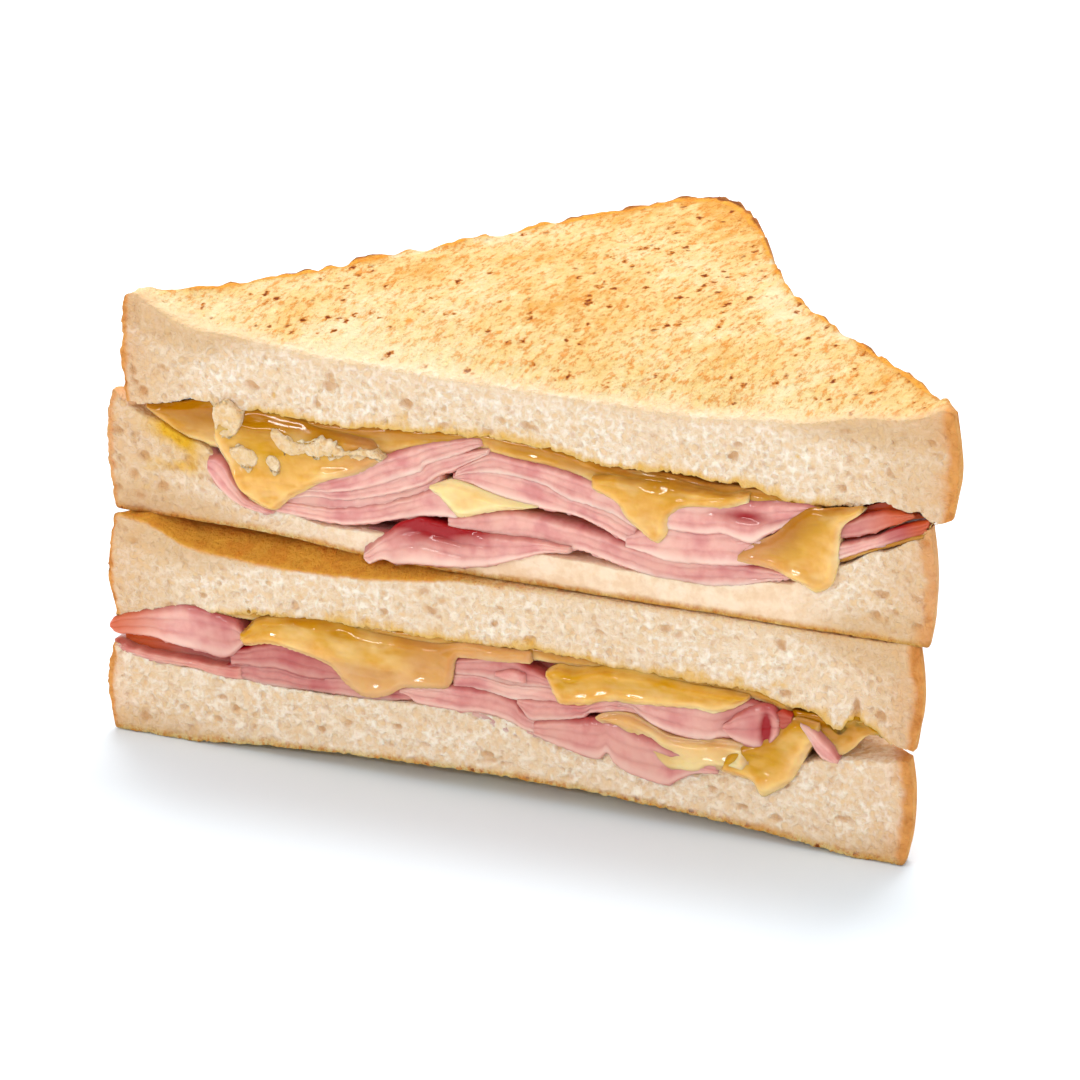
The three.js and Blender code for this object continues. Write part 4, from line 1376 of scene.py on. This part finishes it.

# %% [markdown]
# ## Ham of the lower half
# Four more slices lie here, pressed flatter. The right end of the uppermost is rolled up,
# with a few bits beside it, and a loose sliver has slipped out. The left ends lie far back,
# where a band painted deep red stands for the shade, and their tips are browned.

# %% The lower ham
# Where a band's marks set deep, it is painted shade in a hollow or gap, in part with the ham's
# own darker red.
LOWER_HAM = {
    # ham_recess lies far back under ham_a and is painted deep red as the shade of the recess; its
    # brown tip is real
    "ham_recess": dict(
        node="ham_3", back=2.2, proud=0.5, depth=4.0,
        marks=dict(deep=even(0.65), brown=toward(0.9, -58, -72)),
        low=[(-73.4, 15), (-68, 14.4), (-60, 14.4), (-50.4, 14.2)],
        high=[(-73.4, 18.4), (-68, 19.4), (-60, 18.6), (-50.4, 18)]),
    "ham_a": dict(
        node="ham_1", back=0.3, proud=1.0,
        marks=dict(deep=toward(0.25, -62, -54), brown=toward(0.8, -62, -73.5)),
        low=[(-75.2, 18.6), (-73.6, 17.5), (-70.6, 17.8), (-67.1, 17.9), (-64.1, 17.4),
             (-61.1, 17), (-57.7, 16.8), (-54.7, 16.2), (-52.6, 16.6), (-50.6, 18.4),
             (-49.4, 20)],
        high=[(-75.2, 19.2), (-74.3, 20.3), (-72.3, 21.4), (-68.3, 22.6), (-64, 23.9),
              (-59.7, 24.8), (-56.3, 24.4), (-51.6, 23.2), (-49.4, 21)]),
    "ham_b": dict(
        node="ham_4", back=0.5, proud=0.8, marks=dict(brown=even(0.25)),
        low=[(-74.6, 15.4), (-72.4, 14.2), (-69.4, 13.6), (-65.9, 13.4), (-62.5, 13.5),
             (-59, 13.5), (-55.6, 12.8), (-50.3, 12.7)],
        high=[(-74.6, 15.7), (-71.5, 15.3), (-67.2, 14.9), (-62.9, 14.9), (-59, 15),
              (-56.4, 14.8), (-53, 14.8), (-50.3, 15.2)]),
    "ham_c": dict(
        node="ham_2", back=0.4, proud=0.9, marks=dict(deep=even(0.5)),
        low=[(-52.5, 15), (-49.6, 15.6), (-47, 15.4), (-43.6, 15.8), (-39.4, 15.2), (-36, 15.2),
             (-31.8, 15.7), (-28.1, 15.4)],
        high=[(-52.5, 18), (-49.5, 18.7), (-46.9, 19.9), (-42.7, 21), (-40.6, 21), (-36.8, 20.3),
              (-33.8, 19.4), (-28.1, 17.4)]),
    "ham_d": dict(
        node="ham_4", back=0.7, proud=0.9, marks=dict(deep=even(0.4)),
        low=[(-54.5, 12.9), (-50.5, 12.7), (-46.2, 12.2), (-42, 12.3), (-36, 12.6), (-31, 12.9),
             (-26.9, 12.7), (-22.7, 13.2), (-18.5, 14.3)],
        high=[(-54.5, 14.5), (-50.5, 15.8), (-47, 16.1), (-43.6, 16.5), (-39.4, 15.9),
              (-36, 15.9), (-31.8, 16.4), (-26.1, 16.5), (-20.1, 16.3), (-18.5, 15.3)]),
    "ham_e": dict(
        node="ham_1", back=0.7, proud=1.0, marks=dict(deep=even(0.3)),
        low=[(-11.2, 19.8), (-6.5, 20.1), (-2, 19.4), (2, 19.6), (6, 20.1), (8, 19.6)],
        high=[(-11.2, 22.8), (-6.5, 23.9), (-3.5, 24.7), (-0.7, 24.7), (1.5, 23.6), (4.2, 22.5),
              (8, 21.4)]),
    "ham_f": dict(
        node="ham_2", back=0.9, proud=1.0,
        low=[(-11.6, 17.4), (-6.4, 17.6), (-3.7, 17.4), (-0.2, 17), (2.7, 17.1), (7, 16.9),
             (9.6, 17.1)],
        high=[(-11.6, 20.2), (-6.5, 20.7), (-2, 20.1), (2, 20.3), (6, 20.7), (9.6, 19)]),
    "ham_chunk": dict(
        node="ham_1", back=-0.1, proud=0.7,
        low=[(-3.8, 20.9), (-0.8, 20.5), (1.8, 20.5)],
        high=[(-3.8, 21.7), (-0.9, 22.6), (1.7, 22.3)]),
    "ham_g": dict(
        node="ham_3", back=0.3, proud=1.0, marks=dict(deep=even(0.12)),
        low=[(-21.1, 15.3), (-19.7, 15.1), (-17.6, 14), (-14.3, 13.9), (-9.4, 13.7), (-6.4, 14.2),
             (-3.7, 13.9), (-0.6, 13.2), (1.7, 12.4), (4.8, 12)],
        high=[(-21.1, 16.1), (-16.8, 17.5), (-11.9, 18.2), (-7.8, 18.2), (-3.8, 18), (-0.2, 17.2),
              (1.1, 15.7), (4.7, 14)]),
    "ham_h": dict(
        node="ham_4", back=0.9, proud=0.9,
        low=[(-8.2, 13.2), (-5.6, 12.4), (-3.7, 11.5), (-0.6, 10.8), (3.9, 11), (5.8, 11.4)],
        high=[(-8.2, 14.4), (-3.7, 14.7), (1.7, 13.4), (5.8, 12.7)]),
    "ham_i": dict(
        node="ham_2", back=0.3, proud=1.0,
        marks=dict(deep=even(0.15), brown=spot_at(15.2, 16.9, 0.3, 0.3, 3.0)),
        low=[(0.1, 16.8), (0.7, 16.2), (2.6, 14.2), (5.2, 14.4), (9.2, 15.2), (12.3, 16.1),
             (13.6, 17.1), (19.7, 18.3), (23.5, 17.8)],
        high=[(0.1, 17.5), (1.6, 17.8), (4.7, 18.2), (7.8, 18.4), (12.3, 18.8), (16.6, 20.5),
              (20.2, 20.4), (23.5, 19.5)]),
    "ham_j": dict(
        node="ham_1", back=0.4, proud=1.1, marks=dict(deep=spot_at(40, 20, 5, 3, 0.4, base=0.12)),
        low=[(18, 18.8), (20.2, 19.3), (23.7, 17.1), (27.3, 15.9), (31.7, 15.4), (34.8, 15.7),
             (36.1, 16.4), (40.3, 17.2), (42.9, 17.5)],
        high=[(18, 20.4), (21, 21), (27.1, 21.4), (31.9, 21.8), (36.7, 22), (40.1, 23.6),
              (42.7, 23.3)]),
    "ham_k": dict(
        node="ham_4", back=-0.1, proud=1.0, marks=dict(deep=even(0.22)),
        low=[(3.3, 12), (5.7, 11.2), (8.9, 10.4), (12.5, 9.7), (15.2, 9.5), (16.6, 10.8),
             (17.9, 9.3), (20.5, 8), (24.1, 7.3), (27.2, 7), (29.4, 8.2), (32, 9.7),
             (36.2, 10.5)],
        high=[(3.3, 14.2), (7, 15.3), (12.3, 16.2), (15.8, 16.6), (18.5, 16.6), (21.2, 15.6),
              (24.8, 14.6), (29.2, 13.6), (36.1, 12.2)]),
    "ham_roll": dict(
        node="ham_1", back=-0.3, proud=1.1, frill=0.4,
        marks=dict(deep=spot_at(44.2, 19.4, 0.8, 2.4, 1.5, base=0.25)),
        low=[(36.6, 18.2), (38.9, 16.7), (42.7, 16), (45, 16.7), (46.5, 18.8)],
        high=[(36.6, 18.9), (39.4, 21.5), (42.4, 23.4), (45, 23.5), (46.5, 21.6)]),
    "ham_bits": dict(
        node="ham_1", back=-0.7, proud=0.6, frill=0.4,
        marks=dict(deep=even(0.8), brown=even(0.3)),
        low=[(45.9, 20.7), (47, 20), (48.5, 21)],
        high=[(45.9, 22.5), (47, 23.2), (48.5, 22.5)]),
    "ham_sliver": dict(
        node="ham_sliver", back=-0.6, proud=0.7,
        low=[(50.1, 21.1), (52, 18.7), (53.8, 16.5), (55.6, 15.7), (56.9, 15.8)],
        high=[(50.1, 21.4), (52.3, 20.8), (54.1, 19.5), (55.9, 18.1), (56.9, 16.4)]),
}
fill("lower", LOWER, "ham", LOWER_HAM)

# %% [markdown]
# ## Cheese of the upper half
# Most of it has melted under the top slice, where it shows as an amber band. A wide tongue
# runs down at the left and one drip each in the middle and at the right. A pale piece from
# between the ham slices has hardly melted and shows as a small diamond.

# %% The upper cheese
UPPER_CHEESE = {
    # cheese_left and cheese_band lie back under the top slice; their strong amber is in part
    # painted shade
    "cheese_left": dict(
        node="cheese_top", back=1.0, proud=0.7, sink=0.6,
        marks=dict(amber=(-0.3, 0.9), yellow=1.0, veil=0.0),
        low=[(-69.3, 57.2), (-66.3, 55.2), (-63.6, 53.2), (-59.8, 52.6), (-53, 51.5)],
        high=[(-69.3, 57.8), (-64, 58.8), (-59.7, 59.9), (-55.7, 61), (-53, 61)]),
    "cheese_band": dict(
        node="cheese_top", back=0.9, proud=0.8, sink=0.6,
        marks=dict(amber=(-0.2, 0.9), yellow=0.6, veil=0.3),
        low=[(-55, 56.6), (-45.8, 56.4), (-33.8, 55.1), (-25.1, 55.3), (-18.3, 57.2), (-7.5, 59),
             (-5.7, 58.2), (1.1, 57.7), (5.3, 57.3), (13.7, 55.5), (20, 54.4), (29.7, 54.2),
             (36.3, 55.3), (44.4, 56.8), (52, 57)],
        high=[(-55, 61.4), (-47.6, 61.2), (-33.8, 59.8), (-16.5, 61.4), (-4.8, 62.2), (6.8, 61.2),
              (16.8, 59.2), (25, 59.4), (32.2, 58.6), (42.4, 59), (52, 58.6)]),
    "cheese_piece": dict(
        node="cheese_middle", back=-0.3, proud=1.0,
        marks=dict(amber=(1.5, 2.5), yellow=0.1, pale=0.8, veil=0.2),
        low=[(-16.5, 51.1), (-14.3, 49.7), (-12, 47.4), (-10.7, 46.9), (-7.5, 47.9), (-4.8, 48.9),
             (-0.3, 49.8), (3.2, 50.7)],
        high=[(-16.5, 51.5), (-14, 52.6), (-11.6, 53.2), (-7.5, 52.4), (-3.9, 51.5), (-0.3, 51.1),
              (3.2, 50.9)]),
    "cheese_blob": dict(
        node="cheese_top", back=-0.4, proud=1.3, tuck=1.2,
        marks=dict(amber=(0.55, 0.95), yellow=1.0, thin=toward(0.6, -36, -28)),
        low=[(-55.8, 55), (-55.4, 53.3), (-53.3, 50), (-51.5, 46.3), (-48.8, 44.1), (-46, 43.1),
             (-44.1, 43.4), (-41.8, 45.6), (-38.5, 47.8), (-35.3, 49.6), (-29.3, 51.8),
             (-25.1, 54.6)],
        high=[(-55.8, 56.5), (-54.5, 59), (-50.4, 60.4), (-45.7, 60.6), (-38.4, 59.6),
              (-33.8, 58.7), (-27.4, 58), (-25.1, 56)]),
    "cheese_drip": dict(
        node="cheese_top", back=-0.4, proud=0.9, tuck=1.0,
        low=[(12.6, 56.3), (13.1, 55.3), (16.8, 53.8), (18.9, 51.1), (22, 49), (24.3, 47.9),
             (25.9, 49.6), (26.6, 52.8), (29.7, 54.6), (36.3, 55.6), (40, 57)],
        high=[(12.6, 57.6), (16.8, 58.8), (25, 59.1), (32.2, 58.2), (40, 58.6)]),
    "cheese_juice": dict(
        node="cheese_middle", back=0.8, proud=0.9, frill=0.25, sink=0.2,
        marks=dict(amber=(-1, 0), yellow=0.0),
        low=[(54, 47.9), (56.4, 49.2), (59.3, 50.5), (62.6, 52), (66.3, 53.6), (69.6, 54.9),
             (71, 56.2)],
        high=[(54, 49.6), (56.4, 50.8), (59.3, 52), (62.6, 53.6), (66.3, 55.2), (69.6, 56.6),
              (71, 57.8)]),
    "cheese_drip_right": dict(
        node="cheese_top", back=-0.6, proud=1.0,
        marks=dict(amber=(0.5, 1.0), yellow=0.9, thin=toward(1, 50, 40)),
        low=[(38.3, 47.4), (38.5, 46.9), (42, 46.7), (45.1, 46.3), (47.6, 45.3), (49.7, 44.7),
             (52.2, 43.8), (54.7, 45.4), (55.5, 48.2), (55.7, 51.7), (56.1, 55.2), (59.5, 58.3)],
        high=[(38.3, 47.9), (40.5, 50), (44.5, 52.5), (47.5, 55.5), (50.5, 57.8), (53, 58.2),
              (56, 58.8), (59.5, 59.5)]),
}
fill("upper", UPPER, "melted_cheese", UPPER_CHEESE)

# %% [markdown]
# ## Cheese of the lower half
# A fall of cheese covers the ham left of the middle, and a broad tongue lies to the right
# of it. Below, cheese from between the ham slices has run out as a thin film that ends in
# a pool.

# %% The lower cheese
LOWER_CHEESE = {
    # cheese_band and cheese_right lie back under the slice above; their strong amber is in part
    # painted shade
    "cheese_band": dict(
        node="cheese_top", back=1.0, proud=0.7, sink=0.6,
        marks=dict(amber=(-0.2, 0.9), yellow=0.6, veil=0.3),
        low=[(-60, 23.2), (-45, 23.8), (-34, 24.2), (-13, 24.4), (5, 24.4), (22, 23.9),
             (40, 23.8), (48, 22)],
        high=[(-60, 25.5), (-45, 26.4), (-34, 26.8), (-13, 26.8), (5, 27.2), (22, 26.4),
              (40, 26.3), (48, 24.5)]),
    "cheese_fall": dict(
        node="cheese_top", back=-0.4, proud=1.1, tuck=1.2,
        marks=dict(amber=(0.6, 1.05), yellow=1.0,
                   thin=lambda x, z: 0.7 * np.maximum(ease(x, -24, -16), ease(z, 21, 18))),
        low=[(-50.2, 20.6), (-49.1, 19.4), (-46.1, 20.2), (-43.1, 20.4), (-40.6, 20),
             (-36.8, 19.2), (-33.8, 18.3), (-32.2, 17.1), (-30.9, 15.7), (-29.3, 14.7),
             (-27.7, 13.8), (-26, 13.8), (-23.5, 14.4), (-21.4, 15.6), (-19.7, 16.5),
             (-16.8, 16.9), (-12.7, 17.5), (-11.5, 18.7), (-11.1, 21.3), (-10.6, 22.9),
             (-9.5, 23.4), (-2.9, 23.7), (2.6, 24.2)],
        high=[(-50.2, 21.6), (-49, 22.8), (-46.9, 25), (-42.6, 26), (-38.4, 26.4), (-31.7, 26.6),
              (-25.9, 25.7), (-20.6, 25.6), (-16.4, 25.6), (-11.1, 26.3), (-3, 26.4),
              (2.5, 26.4)]),
    "cheese_tongue": dict(
        node="cheese_top", back=-0.4, proud=1.0, tuck=1.0,
        marks=dict(amber=(0.75, 1.2), yellow=1.0, veil=0.2),
        low=[(5.4, 22.6), (6, 21.7), (6.9, 19.7), (8.2, 18.1), (10.5, 18.3), (13.2, 18.8),
             (15.7, 19.7), (18.4, 20.1), (21.9, 20.2), (26.3, 20.5), (32, 20.9), (35.4, 20.8),
             (38.4, 22), (40.9, 23.7)],
        high=[(5.4, 23.4), (7.5, 24.6), (10.4, 24.5), (15.6, 25.9), (21.7, 26), (27, 25.4),
              (32.2, 25), (37.4, 24.9), (40.9, 24.7)]),
    "cheese_film": dict(
        node="cheese_middle", back=-0.8, proud=0.5, lip=1.6,
        marks=dict(amber=(1.5, 2.5), yellow=0.0, pale=0.6, veil=0.8,
                   thin=lambda x, z: 0.5 - 0.2 * ease(x, 22, 32)),
        low=[(14.5, 16.6), (15.2, 16.2), (18.5, 15), (22.2, 12.9), (24.9, 11.2), (27.5, 9.6),
             (32.8, 9.9), (34.9, 11.2), (38.4, 11.3), (41.6, 10.6)],
        high=[(14.5, 16.9), (16.7, 18), (20.2, 18.3), (23.7, 17.1), (27.7, 15.6), (33.5, 15.8),
              (36.1, 16.4), (41.4, 16.3)]),
    "cheese_pool": dict(
        node="cheese_middle", back=-0.3, proud=0.9,
        marks=dict(amber=(0.6, 1.1), yellow=1.3, veil=0.5),
        low=[(36.6, 11.1), (38, 10.8), (42, 10.2), (43.2, 8.6), (44.3, 8), (46.4, 9.2),
             (48.9, 11.3), (50.5, 14.1), (51.7, 16.9), (53.2, 19.2)],
        high=[(36.6, 13.1), (38.3, 15.4), (40.4, 16.7), (43.4, 17.8), (45.9, 19.2), (47.3, 20.9),
              (49.2, 22.1), (53.1, 21.7)]),
    "cheese_right": dict(
        node="cheese_top", back=0.9, proud=0.7,
        marks=dict(amber=(-0.4, 0.8), yellow=1.0, veil=0.0),
        low=[(48.3, 18.9), (51.5, 17.3), (53.2, 16.7), (56.2, 16.3), (58.6, 17.8), (61, 20.4),
             (63.7, 21)],
        high=[(48.1, 23.8), (52.6, 24.1), (57.7, 23.8), (59.4, 24.6), (63.7, 22.1)]),
}
fill("lower", LOWER, "melted_cheese", LOWER_CHEESE)

# %% [markdown]
# ## Sheets inside the sandwich
# Behind the cut, the same ham and cheese go on nearly to the crust, where their edges show
# in the gap between two slices. Each sheet is a thin block with the plan of its half,
# drawn in from the crust by its own wavy margin, as slices never fit the bread exactly.

# %% The outline of a sheet
SHEET_CELLS = 60
SHEET_FRONT = 3.2  # mm from the cut to the first sheet
BEYOND_CUT = 1e3  # reach of a spoke that meets the cut, where nothing is drawn in


def drawn_in(plan, flat, ends, margin, seed):
    """Draws a plan in from its crust by a wavy margin, and to its two ends."""
    away = flat - plan.centre
    angle = turn_of(away)
    on_crust = (angle > plan.angles[0]) & (angle < plan.angles[-1])
    reach = np.where(on_crust, np.interp(angle, plan.angles, plan.reach), BEYOND_CUT)
    wave = rough(places(6 * np.cos(angle), 6 * np.sin(angle), 5 * seed), 1.5, seed)
    shrink = 1 - (margin + 1.4 * wave) / reach
    to_end = np.where(flat[:, 0] < plan.centre[0], ends[0], ends[1]) - plan.centre[0]
    across = np.maximum(np.abs(reach * np.cos(angle)), 1.0)
    shrink = np.minimum(shrink, np.where(on_crust, np.abs(to_end) / across, 1.0))
    return plan.centre + away * shrink[:, None]


print("a sheet has", SHEET_CELLS, "cells along each side")

# %% [markdown]
# ## Stacking the sheets
# The sheets of one half share the height of its gap evenly, each a little wavy. Near the
# cut the ham between them is painted deep red as shade. Ham and cheese alternate as they
# do at the cut, and the number beside each layer is its margin to the crust in millimetres.

# %% The sheets
def shaded_ham(spot, v, rim, seed):
    """Inside the sandwich the ham gets painted red shade near the cut."""
    shade = np.exp(-np.clip(spot[:, 1] - 3, 0, None) / 6)
    return dict(pale=0 * v, deep=0.75 * shade, brown=0 * v)


def inner_sheet(node, plan, ends, order, count, margin):
    """A sheet of the filling, number order of count from the top."""
    block, seed = half_block(SHEET_CELLS, 2, 4), order + 2
    s, t, w = shares(block)
    x, y = drawn_in(plan, plan.place(s, t), ends, margin, seed).T
    y = SHEET_FRONT + y * (1 - SHEET_FRONT / HALF_DEPTH) + 0.25 * order
    x = np.clip(x, ends[0] + 1, ends[1] - 1)
    ceiling, seat = filling_gap(plan)
    top, bottom = ceiling(x, y) - 0.25, seat(x, y) + 0.25
    layer = (top - bottom) / count
    waves = 0.12 * layer * rough(places(x, y, 3 * seed), 9.0, seed)
    spot = places(x, y, top - layer * (order + 0.94 - 0.88 * w) + waves)
    slot = "ham" if "ham" in node else "melted_cheese"
    paint = FILLINGS[slot][0]
    marks = shaded_ham if slot == "ham" else cheese_marks
    piece = finish_piece(block, node + "_sheet", spot, plan, paint,
                         marks(spot, w, 0 * w + 1, seed))
    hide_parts(node)


STACKS = (
    ("upper", UPPER, (-59, 61), dict(cheese_top=4.0, ham_1=5.5, ham_2=6.5, cheese_middle=6.0,
                                     ham_3=5.2, ham_4=6.2)),
    ("lower", LOWER, (-65, 57), dict(cheese_top=4.2, ham_1=5.0, cheese_middle=6.5, ham_2=5.6,
                                     ham_3=6.4, ham_4=5.2)),
)
for half, plan, ends, stack in STACKS:
    for order, (layer_name, margin) in enumerate(stack.items()):
        inner_sheet(half + "_" + layer_name, plan, ends, order, len(stack), margin)
